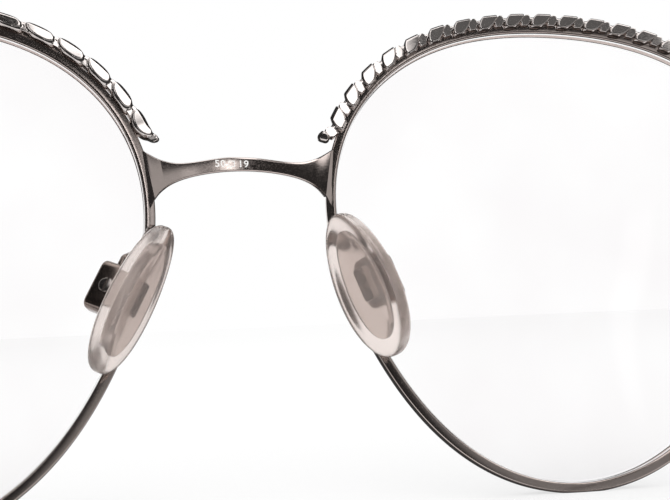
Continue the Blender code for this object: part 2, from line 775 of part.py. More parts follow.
def buildClosing(side, label):
    """The two halves of the closing block, one on each rim end, and the screw that pulls them together."""
    inner = rimBack + seatGap + 0.02 * mm
    outer = inner + blockWidth - 0.12 * mm
    origin, along, out, back = blockFrame(side)
    centreOut = (inner + outer) / 2.0
    deep = blockDepth / 2
    upper = blockSolid(label + "_upper_block", side, 0.05 * mm, blockHeight, inner, outer, deep, gunmetal)
    lower = blockSolid(label + "_lower_block", side, -blockHeight, -0.05 * mm, inner, outer, deep, gunmetal)
    for block in (upper, lower):
        bevel = block.modifiers.new("edges", "BEVEL")
        bevel.width = 0.15 * mm
        bevel.segments = 2
        bevel.limit_method = "ANGLE"
    axisPoint = origin + centreOut * out
    holeTop = axisPoint + (blockHeight - 0.4 * mm) * along
    hole = cylinderBetween(label + "_upper_hole", axisPoint - 3 * mm * along, holeTop,
                           rimScrewRadius + 0.03 * mm, gunmetal, 16)
    cut(upper, hole)
    holeLow = cylinderBetween(label + "_lower_hole", axisPoint - 3 * mm * along, axisPoint + 3 * mm * along,
                              rimScrewRadius + 0.03 * mm, gunmetal, 16)
    cut(lower, holeLow)
    start = axisPoint - (blockHeight + 0.03 * mm + rimScrewHeadHeight) * along
    span = blockHeight + 0.03 * mm + rimScrewHeadHeight + blockHeight - 0.5 * mm
    stages = [(0.0, rimScrewHead * 0.8), (0.12 * mm, rimScrewHead), (rimScrewHeadHeight, rimScrewHead),
              (rimScrewHeadHeight, rimScrewRadius), (span, rimScrewRadius)]
    screw = steppedBar(label + "_rim_screw", start, along, stages, screwSteel)
    slotBox = []
    for b in (-0.12 * mm, 0.12 * mm):
        for a, o in ((-1.0, -1.4), (0.16, -1.4), (0.16, 1.4), (-1.0, 1.4)):
            slotBox.append(start + a * mm * along + o * mm * out + b * back)
    faces = [(0, 3, 2, 1), (4, 5, 6, 7), (0, 1, 5, 4), (1, 2, 6, 5), (2, 3, 7, 6), (3, 0, 4, 7)]
    if signedVolume(slotBox, faces) < 0:
        faces = [tuple(reversed(face)) for face in faces]
    cut(screw, addMesh(label + "_rim_screw_slot", slotBox, faces, screwSteel))


def plate(name, low, high, slot):
    """A plain block between two corners in the row frame."""
    points = []
    for z in (low[2], high[2]):
        for x, y in ((low[0], low[1]), (high[0], low[1]), (high[0], high[1]), (low[0], high[1])):
            points.append((x, y, z))
    faces = [(0, 3, 2, 1), (4, 5, 6, 7), (0, 1, 5, 4), (1, 2, 6, 5), (2, 3, 7, 6), (3, 0, 4, 7)]
    if signedVolume(points, faces) < 0:
        faces = [tuple(reversed(face)) for face in faces]
    return addMesh(name, points, faces, slot)


def buildHinge(side, label):
    """Three barrels on one screw: two on the front leaf, one between them on the temple leaf."""
    x = side * hingeX
    pitch = barrelLength + barrelGap
    zs = [hingeZ + (k - 1) * pitch for k in range(3)]
    wall = side * (hingeX + barrelRadius - 0.2 * mm + 1.3 * mm - endThickness / 2.0 - seatGap)
    leafIn = wall - side * leafThickness

    def xs(a, b):
        return (min(a, b), max(a, b))

    lx = xs(wall, leafIn)
    front = plate(label + "_hinge_front", (lx[0], hingeY - leafLength, hingeZ - 1.35 * mm),
                  (lx[1], hingeY - barrelRadius - 0.12 * mm, hingeZ + 1.35 * mm), gunmetal)
    tx = xs(wall, leafIn)
    temple = plate(label + "_hinge_temple", (tx[0], hingeY + barrelRadius + 0.12 * mm, hingeZ - 1.2 * mm),
                   (tx[1], hingeY + leafLength, hingeZ + 1.2 * mm), gunmetal)
    for k, z in enumerate(zs):
        owner = temple if k == 1 else front
        barrel = cylinderBetween(label + "_barrel_%d" % k, (x, hingeY, z - barrelLength / 2),
                                 (x, hingeY, z + barrelLength / 2), barrelRadius, gunmetal, 18)
        cut(owner, barrel, "UNION")
        direction = 1.0 if k == 1 else -1.0
        ax = xs(x + side * 0.1 * mm, wall)
        ay = sorted((hingeY + direction * 0.2 * mm, hingeY + direction * (barrelRadius + 0.6 * mm)))
        arm = plate(label + "_arm_%d" % k, (ax[0], ay[0], z - barrelLength / 2 + 0.002 * mm),
                    (ax[1], ay[1], z + barrelLength / 2 - 0.002 * mm), gunmetal)
        cut(owner, arm, "UNION")
    bore = cylinderBetween(label + "_hinge_bore", (x, hingeY, hingeZ - 5 * mm), (x, hingeY, hingeZ + 5 * mm),
                           hingePinRadius + hingePinRunning, gunmetal, 18)
    cut(front, bore)
    cut(temple, bore)
    top = zs[2] + barrelLength / 2 + 0.03 * mm + hingeHeadHeight
    bottom = zs[0] - barrelLength / 2
    span = top - bottom
    stages = [(0.0, hingeHeadRadius * 0.8), (0.13 * mm, hingeHeadRadius), (hingeHeadHeight, hingeHeadRadius),
              (hingeHeadHeight, hingePinRadius), (span, hingePinRadius)]
    screw = steppedBar(label + "_hinge_screw", (x, hingeY, top), (0.0, 0.0, -1.0), stages, screwSteel, 18)
    slot = plate(label + "_hinge_screw_slot", (x - 1.5 * mm, hingeY - 0.13 * mm, top - 0.18 * mm),
                 (x + 1.5 * mm, hingeY + 0.13 * mm, top + 1.0 * mm), screwSteel)
    cut(screw, slot)
    return wall


def templeRoute(side, drop):
    """Centre line of the temple from the hinge back, over the ear and down behind it."""
    x = side * (hingeX + barrelRadius - 0.2 * mm + 1.3 * mm)
    pts = []
    y = hingeY + 1.25 * mm
    z = hingeZ
    long = templeLength - 3.5 * mm
    steps = [long * i / 33 for i in range(1, 34)] + [long + part * mm for part in (1.0, 1.9, 2.7, 3.2, 3.5)]
    total = 0.0
    pts.append((Vector((x, y, z)), 0.0, 0.0))
    for reached in steps:
        ds = reached - total
        total = reached
        bend = drop * smooth(total, templeBendAt - templeBendBefore, templeBendAt + templeBendAfter)
        inward = templeInward * smooth(total, templeInwardFrom, templeInwardTo)
        inward += tipInward * smooth(total, templeBendAt, templeBendAt + tipInwardLength)
        y += ds * math.cos(bend)
        z -= ds * math.sin(bend)
        x -= side * ds * math.sin(inward)
        pts.append((Vector((x, y, z)), bend, total))
    return pts


def tipHalfHeight(total):
    return 0.62 * mm + tipWallUp + 0.9 * mm * smooth(total, templeBendAt, templeLength)


def tipClose(total):
    """How far the tip's end has rounded off: 1 along it, near 0 at its end."""
    left = templeLength - total
    return math.sqrt(max(0.05, 1.0 - max(0.0, 1.0 - left / (3.5 * mm)) ** 2))


def findDrop():
    """The drop that brings the lowest point of the tip to the level that the rims rest on."""
    low, high = math.radians(20.0), math.radians(60.0)
    for step in range(40):
        drop = (low + high) / 2.0
        lowestTip = min(p[2] - tipHalfHeight(total) * tipClose(total) * math.cos(bend)
                        for p, bend, total in templeRoute(1, drop) if total > tipStart)
        if lowestTip > -tipFlat:
            low = drop
        else:
            high = drop
    return drop


templeDrop = findDrop()


def buildTemple(side, label):
    """A slim metal bar, tall at the hinge and drawn down to a rod that the tip is pushed over."""
    route = templeRoute(side, templeDrop)
    rings = []
    usable = [r for r in route if r[2] < templeLength - rodShort]
    for i, (p, bend, total) in enumerate(usable):
        a = usable[max(0, i - 1)][0]
        b = usable[min(len(usable) - 1, i + 1)][0]
        axis = (b - a).normalized()
        sideways = axis.cross(Vector((0.0, 0.0, 1.0))).normalized()
        up = sideways.cross(axis).normalized()
        t = templeThickness / 2.0
        h = (templeHeight + (templeTailHeight - templeHeight) * smooth(total, 15 * mm, 70 * mm)) / 2.0
        if total > tipStart:
            h = 0.62 * mm
            t = 0.45 * mm
        c = min(h, t) * 0.45
        ring = []
        for q, w in barCorners(t, h, c):
            ring.append(p + q * sideways + w * up)
        rings.append(ring)
    return sweep(label + "_temple", rings, gunmetal, smoothAngle=40.0)


def buildTip(side, label):
    """A plastic sleeve over the temple's rod, rounded and dropped behind the ear."""
    route = [r for r in templeRoute(side, templeDrop) if r[2] > tipStart + 0.5 * mm]
    around = 12
    outer = []
    inner = []
    first = route[0][2]
    rodEnd = templeLength - rodShort + 1.2 * mm
    for i, (p, bend, total) in enumerate(route):
        a = route[max(0, i - 1)][0]
        b = route[min(len(route) - 1, i + 1)][0]
        axis = (b - a).normalized()
        sideways = axis.cross(Vector((0.0, 0.0, 1.0))).normalized()
        up = sideways.cross(axis).normalized()
        t = 0.45 * mm + tipWallSide
        h = tipHalfHeight(total)
        close = tipClose(total)
        opening = 0.72 + 0.28 * smooth(total, first, first + 7 * mm)
        ring = []
        wide = t * close * opening
        tall = h * close * opening
        for k in range(around):
            ang = 2.0 * math.pi * (k + 0.5) / around
            ring.append(p + wide * math.cos(ang) * sideways + tall * math.sin(ang) * up)
        outer.append(ring)
        if total < rodEnd:
            ring = []
            for k in range(around):
                ang = 2.0 * math.pi * (k + 0.5) / around
                cu = math.copysign(abs(math.cos(ang)) ** 0.6, math.cos(ang))
                su = math.copysign(abs(math.sin(ang)) ** 0.6, math.sin(ang))
                ring.append(p + 0.51 * mm * cu * sideways + 0.68 * mm * su * up)
            inner.append(ring)
    rings = list(reversed(inner)) + outer
    return flatten(sweep(label + "_temple_tip", rings, tipPlastic, smoothAngle=50.0))


sides = ((1, "left", ropeLeftPitch, ropeLeftFirst, ropeLeftSize, ropeLeftOut),
         (-1, "right", ropeRightPitch, ropeRightFirst, ropeRightSize, ropeRightOut))
for side, label, pitch, first, size, ropeOut in sides:
    buildRim(side, label)
    buildLens(side, label)
    buildRope(side, label, pitch, first, size, ropeOut)
    buildPad(side, label)
    buildCore(side, label)
    buildBox(side, label)
    buildPadScrew(side, label)
    buildWire(side, label)
    buildClosing(side, label)
    buildEndPiece(side, label)
    buildHinge(side, label)
    buildTemple(side, label)
    buildTip(side, label)
buildBridge()


def setOrigin(name, point):
    """A moving piece turns about its own origin, which lies on its joint's axis."""
    moved = bpy.data.objects[name]
    moved.data.transform(Matrix.Translation(-Vector(point)))
    moved.location = point


for side, label in ((1, "left"), (-1, "right")):
    for piece in ("_temple", "_temple_tip", "_hinge_temple"):
        setOrigin(label + piece, (side * hingeX, hingeY, hingeZ))
    for piece in ("_nose_pad", "_pad_core"):
        setOrigin(label + piece, padPoint(side, 0.0, 0.0, pivotOut))

# the row's origin is on the ground, under the middle of the open frame
reachBack = max(v.co.y + bpy.data.objects["left_temple_tip"].location.y
                for v in bpy.data.objects["left_temple_tip"].data.vertices)
reachFront = min(v.co.y for v in bpy.data.objects["bridge"].data.vertices)
middle = (reachBack + reachFront) / 2.0
for item in bpy.data.objects:
    item.location.y -= middle
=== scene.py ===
from math import asin, cos, pi, radians, sin, sqrt, tan

import bpy
import numpy as np
from mathutils import Matrix, Vector


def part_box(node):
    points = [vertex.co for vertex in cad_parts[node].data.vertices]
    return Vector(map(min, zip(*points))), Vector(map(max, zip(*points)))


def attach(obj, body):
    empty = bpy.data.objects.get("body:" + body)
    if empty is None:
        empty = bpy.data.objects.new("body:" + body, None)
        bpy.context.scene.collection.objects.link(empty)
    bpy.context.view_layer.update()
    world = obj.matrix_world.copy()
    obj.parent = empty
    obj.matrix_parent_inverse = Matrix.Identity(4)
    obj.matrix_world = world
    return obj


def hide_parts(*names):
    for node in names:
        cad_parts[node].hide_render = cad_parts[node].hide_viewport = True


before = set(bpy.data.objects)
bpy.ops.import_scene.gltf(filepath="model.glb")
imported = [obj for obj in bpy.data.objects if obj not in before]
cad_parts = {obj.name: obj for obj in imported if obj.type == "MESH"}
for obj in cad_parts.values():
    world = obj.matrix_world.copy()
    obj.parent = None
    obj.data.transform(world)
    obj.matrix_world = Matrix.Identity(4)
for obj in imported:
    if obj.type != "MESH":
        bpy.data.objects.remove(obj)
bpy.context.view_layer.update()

mm = 0.001
tau = 2.0 * pi

# the sizes shared by all pieces, the same as the solids have
eye = {
    "wide": 50.0 * mm, "tall": 50.2 * mm, "round": 0.052, "skew": 0.016, "gap": 19.0 * mm,
    "wrap": radians(6.0), "tilt": radians(8.0), "back": 0.55 * mm, "lip": 0.5 * mm,
    "halfDepth": 0.9 * mm, "groove": 0.42 * mm, "seat": 0.05 * mm, "flat": 0.32 * mm, "near": 0.03 * mm,
    "hingeOutside": 6.174 * mm, "hingeBehind": 7.774 * mm, "hingeRise": 6.6 * mm,
    "closeAbove": radians(1.0), "restInset": 0.2 * mm, "reading": 0.01,
}
halfLens = eye["wide"] / 2.0
hingeX = eye["gap"] / 2.0 + eye["wide"] * cos(eye["wrap"]) + eye["hingeOutside"]
hingeY = eye["wide"] * sin(eye["wrap"]) + eye["hingeBehind"]
closeAngle = asin(eye["hingeRise"] / halfLens) + eye["closeAbove"]


def lensOutline():
    # a circle whose radius has a little sin 3t and cos 3t, centred and scaled to the lens size;
    # it gives each point's angle too, and ends where it starts
    t = np.linspace(0.0, tau, 1441)
    r = 1.0 + eye["round"] * np.sin(3.0 * t) + eye["skew"] * np.cos(3.0 * t)
    u = r * np.cos(t)
    v = r * np.sin(t)
    u = (u - (u.max() + u.min()) / 2.0) * eye["wide"] / (u.max() - u.min())
    v = (v - (v.max() + v.min()) / 2.0) * eye["tall"] / (v.max() - v.min())
    return np.unwrap(np.arctan2(v, u)), u, v


outlineT, outlineU, outlineV = lensOutline()


def edge(angle, out=0.0):
    # the lens edge at each angle from the lens centre, moved out along its normal
    def read(a):
        w = (a - outlineT[0]) % tau + outlineT[0]
        return np.array([np.interp(w, outlineT, outlineU), np.interp(w, outlineT, outlineV)])
    angle = np.asarray(angle, float)
    u, v = read(angle)
    du, dv = read(angle + eye["reading"]) - read(angle - eye["reading"])
    size = np.hypot(du, dv)
    nu, nv = dv / size, -du / size
    return u + out * nu, v + out * nv, nu, nv


def tilt(p):
    # the front turned by its lean about a level line under the rims, then dropped onto its rest
    c, s = cos(eye["tilt"]), sin(eye["tilt"])
    back, rise = p[..., 1], p[..., 2] - lowestEdge
    return np.stack([p[..., 0], back * c - rise * s - rowShift, back * s + rise * c + floorLift], -1)


def place(side, u, v, depth):
    # lens plane (u out from the nose, v up, depth to the wearer) turned by the wrap, then tilted
    c, s = cos(eye["wrap"]), sin(eye["wrap"])
    u, v, depth = np.broadcast_arrays(u, v, depth)
    x = side * (eye["gap"] / 2.0 + halfLens * c + u * c - depth * s)
    y = halfLens * s + u * s + depth * c
    return tilt(np.stack([x, y, v], -1))


# the two shifts are 0 until the rims' lowest part and the hinge screw have been measured
floorLift = 0.0
rowShift = 0.0
lowestEdge = float(outlineV.min()) - eye["back"]
restU, restV = edge(np.linspace(radians(250), radians(290), 81), eye["back"])[:2]
restDepth = (eye["halfDepth"] - eye["restInset"]) * np.array([[-1.0], [1.0]])
floorLift = -float(place(1, restU[None], restV[None], restDepth)[..., 2].min()) - eye["flat"]
hingeZ = float(tilt(np.array([0.0, 0.0, eye["hingeRise"]]))[2])
hingeLow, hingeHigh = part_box("left_hinge_screw")
rowShift = hingeY - (hingeLow[1] + hingeHigh[1]) / 2.0
hingeRowY = hingeY - rowShift


def smooth(x, low, high):
    # 0 below low, 1 above high, with the curve 3t2 - 2t3 between
    t = np.clip((np.asarray(x, float) - low) / (high - low), 0.0, 1.0)
    return t * t * (3.0 - 2.0 * t)


def signedPower(x, power):
    # the size of x raised to a power, with the sign of x
    return np.sign(x) * np.abs(x) ** power


def quarter(x, share=1.0):
    # the rise of a quarter circle, 1 from x = 1 on; with a smaller share it starts above 0
    return np.sqrt(1.0 - share * np.clip(1.0 - x, 0.0, 1.0) ** 2)


def running(steps):
    # the sum of the steps so far, from 0
    return np.concatenate([[0.0], np.cumsum(steps)])


def onceRound(count, start=0.0):
    # equal angles once round
    return np.linspace(start, start + tau, count, endpoint=False)


def outwards(points, faces, tris):
    # the sign of the volume tells whether the faces point out
    total = 0.0
    for block in (faces, tris):
        for k in range(1, block.shape[1] - 1):
            a, b, c = points[block[:, 0]], points[block[:, k]], points[block[:, k + 1]]
            total += float(np.einsum("ij,ij->i", a, np.cross(b, c)).sum())
    return total > 0


def added(name, data):
    # a new object in the scene
    made = bpy.data.objects.new(name, data)
    bpy.context.collection.objects.link(made)
    return made


def surface(name, grid, finish, wrapRows=False, sharp=40.0, replaces=None, body="front"):
    # a grid of closed rings becomes a closed object of cells with four corners; open ends get a fan
    rows, cols = grid.shape[:2]
    points = grid.reshape(-1, 3)
    i = np.arange(rows if wrapRows else rows - 1)[:, None] * cols
    j = np.arange(cols)
    k = (j + 1) % cols
    n = (i + cols) % (rows * cols)
    faces = np.stack([i + j, i + k, n + k, n + j], -1).reshape(-1, 4)
    tris = np.zeros((0, 3), int)
    if not wrapRows:
        first, last = np.full(cols, len(points)), (rows - 1) * cols
        points = np.concatenate([points, [grid[0].mean(0)], [grid[-1].mean(0)]])
        tris = np.concatenate([np.stack([first, k, j], -1), np.stack([first + 1, last + j, last + k], -1)])
    if not outwards(points - points.mean(0), faces, tris):
        faces, tris = faces[:, ::-1], tris[:, ::-1]
    mesh = bpy.data.meshes.new(name)
    mesh.from_pydata(points.tolist(), [], faces.tolist() + tris.tolist())
    mesh.materials.append(finish)
    made = added(name, mesh)
    mesh.shade_smooth()
    mesh.set_sharp_from_angle(angle=radians(sharp))
    if replaces:
        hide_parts(replaces)
    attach(made, body)


def roundedLoop(corners, radii, steps):
    # closed polygons whose corners become arcs, each a quadratic curve between the cut points
    corners = np.asarray(corners, float)
    radii = np.broadcast_to(np.asarray(radii, float), corners.shape[:-1])[..., None]
    before = np.roll(corners, 1, -2) - corners
    after = np.roll(corners, -1, -2) - corners
    a = corners + before / np.linalg.norm(before, axis=-1, keepdims=True) * radii
    b = corners + after / np.linalg.norm(after, axis=-1, keepdims=True) * radii
    t = np.linspace(0.0, 1.0, steps)[:, None]
    a, b, corner = a[..., None, :], b[..., None, :], corners[..., None, :]
    curve = (1 - t) ** 2 * a + 2 * t * (1 - t) * corner + t ** 2 * b
    return curve.reshape(corners.shape[:-2] + (-1, 2))


def oblong(a, b, radius, steps):
    # rounded rectangles of half sizes a and b, one for each entry, as two arrays
    a, b, radius = (np.atleast_1d(np.asarray(v, float)) for v in np.broadcast_arrays(a, b, radius))
    turns = ((-1, 1), (-1, -1), (1, -1), (1, 1))
    corners = np.stack([np.stack([i * a, j * b], -1) for i, j in turns], -2)
    return np.moveaxis(roundedLoop(corners, radius[:, None], steps), -1, 0)


def curveThrough(points, count):
    # a smooth curve through the points by Catmull-Rom spans
    pts = np.asarray(points, float)
    pts = np.concatenate([[2 * pts[0] - pts[1]], pts, [2 * pts[-1] - pts[-2]]])
    f = np.linspace(0.0, len(pts) - 3, count)
    k = np.minimum(f.astype(int), len(pts) - 4)
    t = (f - k)[:, None]
    a, b, c, d = pts[k], pts[k + 1], pts[k + 2], pts[k + 3]
    square, cube = 2 * a - 5 * b + 4 * c - d, 3 * b - a - 3 * c + d
    return 0.5 * (2 * b + (c - a) * t + square * t ** 2 + cube * t ** 3)


def unit(v):
    # a vector divided by its length
    return np.asarray(v, float) / np.linalg.norm(v, axis=-1, keepdims=True)


def carried(path, one, two, a, b):
    # a section carried along a path, a and b along its two square directions
    return path[:, None] + a[..., None] * one[:, None] + b[..., None] * two[:, None]


def wire(path, radius, start):
    # a circle carried along a path, its first direction kept from twisting by projecting it at each step
    axis = unit(np.gradient(path, axis=0))
    one = np.zeros_like(path)
    now = np.asarray(start, float)
    for i in range(len(path)):
        now = now - now.dot(axis[i]) * axis[i]
        now = now / np.linalg.norm(now)
        one[i] = now
    t = onceRound(28)
    radius = np.broadcast_to(radius, (len(path),))[:, None]
    return carried(path, one, np.cross(axis, one), radius * np.cos(t), radius * np.sin(t))


def framed(origin, one, two, three, x, y, z):
    # points from three directions about an origin
    x, y, z = (np.asarray(v, float)[..., None] for v in np.broadcast_arrays(x, y, z))
    return np.asarray(origin, float) + x * np.asarray(one) + y * np.asarray(two) + z * np.asarray(three)


def easedBlock(origin, one, two, three, halves, radius):
    # a block whose edges are rounded: rounded rectangles drawn in at both ends along a quarter circle
    a, b, c = halves
    t = np.linspace(0.0, pi / 2.0, 5)
    inset = radius * (1.0 - np.sin(t))
    level = radius * (1.0 - np.cos(t)) - c
    inset = np.concatenate([inset, inset[::-1]])
    level = np.concatenate([level, -level[::-1]])
    x, y = oblong(a - inset, b - inset, np.maximum(radius - inset, radius * 0.06), len(t))
    return framed(origin, one, two, three, x, y, level[:, None])


def screwHead(centre, axis, along, radius, height, dome, slotWide, slotDeep):
    # rows are chords of a disc; its height falls off as a dome with a rounded edge, and drops in the slot
    axis, along = unit(axis), unit(along)
    rows, slotRows, columns = 18, 4, 31
    edgeSize = 0.16 * radius
    half = np.arcsin(slotWide / 2.0 / radius)
    outer = np.linspace(-pi / 2.0 + 0.02, -half, rows)
    turn = np.concatenate([outer, np.linspace(-half, half, slotRows), -outer[::-1]])
    inSlot = np.repeat([False, True, False], [rows, slotRows, rows])[:, None]
    v = radius * np.sin(turn)[:, None]
    u = np.sin(np.linspace(-pi / 2.0, pi / 2.0, columns)) * np.sqrt(radius ** 2 - v ** 2)
    far = np.sqrt(u ** 2 + v ** 2)
    past = np.clip((far - radius + edgeSize) / edgeSize, 0.0, 1.0)
    top = height - dome * (far / radius) ** 2 - edgeSize * (1.0 - np.sqrt(1.0 - past ** 2))
    top = np.where(inSlot, np.minimum(top, height - slotDeep), top)
    u = np.concatenate([u[:, :1], u, u[:, -1:]], 1)
    return framed(centre, along, np.cross(axis, along), axis, u, v, np.pad(top, ((0, 0), (1, 1))))


# materials

def newMaterial(name):
    # a material with its node tree and its shader
    made = bpy.data.materials.new(name)
    made.use_nodes = True
    return made, made.node_tree, made.node_tree.nodes["Principled BSDF"]


def feed(tree, made, values):
    # each named input of a node gets a plain value, or a link from the socket that gives it
    for name, value in values.items():
        if isinstance(value, bpy.types.NodeSocket):
            tree.links.new(value, made.inputs[name])
        else:
            made.inputs[name].default_value = value
    return made


def newNode(tree, kind, values=None, **settings):
    # a node of one kind with its settings and inputs
    made = tree.nodes.new("ShaderNode" + kind)
    for name, value in settings.items():
        setattr(made, name, value)
    return feed(tree, made, values or {})


def grain(tree, scale, detail=3.0, stretch=(1.0, 1.0, 1.0)):
    # a noise over object coordinates, in metres
    spot = newNode(tree, "TexCoord").outputs["Object"]
    spot = newNode(tree, "Mapping", {"Vector": spot, "Scale": stretch}).outputs["Vector"]
    return newNode(tree, "TexNoise", {"Vector": spot, "Scale": scale, "Detail": detail}).outputs["Fac"]


def ramp(tree, source, stops):
    # colours read from a noise: the two stops are (position, colour)
    made = newNode(tree, "ValToRGB", {"Fac": source})
    for stop, (position, colour) in zip(made.color_ramp.elements, stops):
        stop.position = position
        stop.color = (*colour, 1.0)
    return made.outputs["Color"]


def spread(tree, source, low, high, fromLow=0.3, fromHigh=0.7, curve="LINEAR"):
    # a value moved from one range to another, held at the ends
    values = {"Value": source, "From Min": fromLow, "From Max": fromHigh, "To Min": low, "To Max": high}
    return newNode(tree, "MapRange", values, interpolation_type=curve).outputs["Result"]


def relief(tree, source, depth):
    # a bump of that depth in metres
    return newNode(tree, "Bump", {"Height": source, "Distance": depth}).outputs["Normal"]


def platedMetal(name, light, dark, rough, scale):
    # plated metal: cloudy colour, and a polish with fine rubbing marks
    made, tree, shader = newMaterial(name)
    rub = grain(tree, scale * 7.0, 2.0, (1.0, 1.0, 2.5))
    feed(tree, shader, {
        "Base Color": ramp(tree, grain(tree, scale, 4.0), [(0.3, dark), (0.7, light)]),
        "Roughness": spread(tree, rub, *rough), "Normal": relief(tree, rub, 0.0006 * mm), "Metallic": 1.0})
    return made


def mouldedPlastic(name, light, dark, rough, scale, clear, ior, depth):
    # silicone or plastic: a little cloud in the colour and a skin that isn't quite smooth
    made, tree, shader = newMaterial(name)
    skin = grain(tree, scale * 2.0)
    feed(tree, shader, {
        "Base Color": ramp(tree, grain(tree, scale * 0.6), [(0.32, dark), (0.68, light)]),
        "Roughness": spread(tree, skin, *rough), "Normal": relief(tree, skin, depth),
        "Transmission Weight": clear, "IOR": ior})
    return made


# light and dark colour, least and most roughness, and the scale of the cloud
metals = {
    "gunmetal": ((0.62, 0.535, 0.50), (0.56, 0.48, 0.445), (0.07, 0.14), 450.0),
    "ropeMetal": ((0.68, 0.63, 0.605), (0.60, 0.55, 0.53), (0.06, 0.13), 450.0),
    "boxMetal": ((0.27, 0.215, 0.19), (0.2, 0.16, 0.145), (0.12, 0.22), 900.0),
    "screwSteel": ((0.36, 0.32, 0.30), (0.29, 0.26, 0.245), (0.12, 0.25), 900.0),
}
# the same, then how clear it is, how it bends light and how deep its skin is
plastics = {
    "silicone": ((0.97, 0.88, 0.835), (0.93, 0.84, 0.80), (0.15, 0.23), 300.0, 0.93, 1.38, 0.0008 * mm),
    "corePlastic": ((0.90, 0.835, 0.80), (0.80, 0.735, 0.705), (0.1, 0.2), 300.0, 0.76, 1.3, 0.0006 * mm),
    "lensPlastic": ((1.0, 1.0, 1.0), (0.95, 0.936, 0.94), (0.0, 0.01), 90.0, 1.0, 1.22, 0.0),
    "tipPlastic": ((0.10, 0.09, 0.088), (0.07, 0.062, 0.06), (0.18, 0.32), 700.0, 0.0, 1.49, 0.002 * mm),
    "digitPaint": ((0.98, 0.97, 0.95), (0.90, 0.89, 0.87), (0.4, 0.55), 700.0, 0.0, 1.45, 0.002 * mm),
}
gunmetal, ropeMetal, boxMetal, screwSteel = [platedMetal(name, *own) for name, own in metals.items()]
silicone, corePlastic, lensPlastic, tipPlastic, digitPaint = [
    mouldedPlastic(name, *own) for name, own in plastics.items()]
print("materials ready")


# rims

rimFine = {"steps": 420, "cornerSteps": 9, "halfGap": 0.15 * mm, "rearOuter": 0.24 * mm,
           "rearInner": 0.25 * mm, "foreInner": 0.16 * mm, "vee": 0.05 * mm}


def makeRim(side, label):
    # the wire's section, a rounded bar with a V groove on the lens side, carried round from gap to gap
    h, g, lip, back = eye["halfDepth"], eye["groove"], eye["lip"], eye["back"]
    corners = [(-lip, g), (-lip, h), (back, h), (back, -h), (-lip, -h), (-lip, -g), (eye["seat"], 0.0)]
    v, o = rimFine["vee"], rimFine["rearOuter"]
    radii = [v, rimFine["rearInner"], o, o, rimFine["foreInner"], v, v]
    n, d = roundedLoop(corners, radii, rimFine["cornerSteps"]).T
    half = rimFine["halfGap"] / halfLens
    turn = np.linspace(closeAngle + half, closeAngle + tau - half, rimFine["steps"])
    u, w, nu, nv = (a[:, None] for a in edge(turn))
    grid = place(side, u + n * nu, w + n * nv, d)
    grid[..., 2] = np.maximum(grid[..., 2], 0.0)
    surface(label + "Rim", grid, gunmetal, replaces=label + "_rim")


# ropes

# a bead or a link is long, short and tall in mm, leans by degrees, and sits ahead and out by mm;
# its cuts are how far its rear and front and its sides are from the middle line
ropeFine = {
    "start": radians(29.5), "end": radians(153.0), "sunk": 0.15 * mm, "perLobe": 60, "around": 72,
    "core": 0.44 * mm, "endLong": 2.4 * mm, "endOut": 0.75 * mm, "endRound": 0.9 * mm, "endShare": 0.9,
    "sharpness": 40, "bevelTurn": radians(34.0), "capSlope": radians(38),
    "left": {
        "pitch": 3.49 * mm, "first": 1.64 * mm, "size": 0.94, "out": 0.8 * mm, "cut": radians(17),
        "bevel": 0.68 * mm, "capAt": 1.7 * mm, "bead": (1.9, 0.98, 1.1, 14.0, 0.0, -0.13),
        "link": (0.9, 0.6, 0.9, 66.0, 1.64, -0.3)},
    "right": {
        "pitch": 3.06 * mm, "first": 0.68 * mm, "size": 1.0, "out": 0.37 * mm, "cut": radians(10),
        "bevel": 0.80 * mm, "capAt": 1.15 * mm, "bead": (1.66, 0.80, 1.25, 46.0, 0.05, -0.02),
        "link": (1.0, 0.52, 0.9, 66.0, 1.4, -0.16)},
    "beadCuts": (0.66 * mm, 0.93 * mm), "linkCuts": (0.44 * mm, 0.70 * mm),
}


def beadReach(shape, pitch, along, angle):
    # how far a ray from the middle line goes in leaning ellipsoids, one at each pitch; 0 where it meets none
    long, short, tall, lean, ahead, out = shape
    sizes = np.array([long, short, tall]) * mm
    c, t = cos(radians(lean)), sin(radians(lean))
    q = np.stack(np.broadcast_arrays(np.cos(angle) * t, np.cos(angle) * c, np.sin(angle)), -1) / sizes
    square = (q * q).sum(-1)
    best = 0.0
    for step in (-pitch, 0.0, pitch):
        s = (along - ahead * mm + pitch / 2.0) % pitch - pitch / 2.0 + step
        p = np.stack(np.broadcast_arrays(s * c - out * mm * t, -s * t - out * mm * c, 0.0), -1) / sizes
        half = (p * q).sum(-1)
        inside = half ** 2 - square * ((p * p).sum(-1) - 1.0)
        reach = (-half + np.sqrt(np.maximum(inside, 0.0))) / square
        best = np.maximum(best, np.where(inside > 0.0, reach, 0.0))
    return best


def flattened(reach, angle, own, rear, widest, ahead=0.0):
    # each reach shortened softly to the nearest of five planes: rear, outer bevel, two sides and front;
    # past the cap's place the rear plane falls away along the rope
    r, over = ropeFine, 1.0
    capped = rear - np.maximum(ahead - own["capAt"], 0.0) * tan(r["capSlope"])
    planes = ((pi / 2.0 - own["cut"], capped), (r["bevelTurn"], own["bevel"]), (0.0, widest),
              (pi, widest), (-pi / 2.0, rear))
    for toward, far in planes:
        over = over + np.maximum(reach * np.cos(angle - toward) / far, 0.0) ** r["sharpness"]
    return reach * over ** (-1.0 / r["sharpness"])


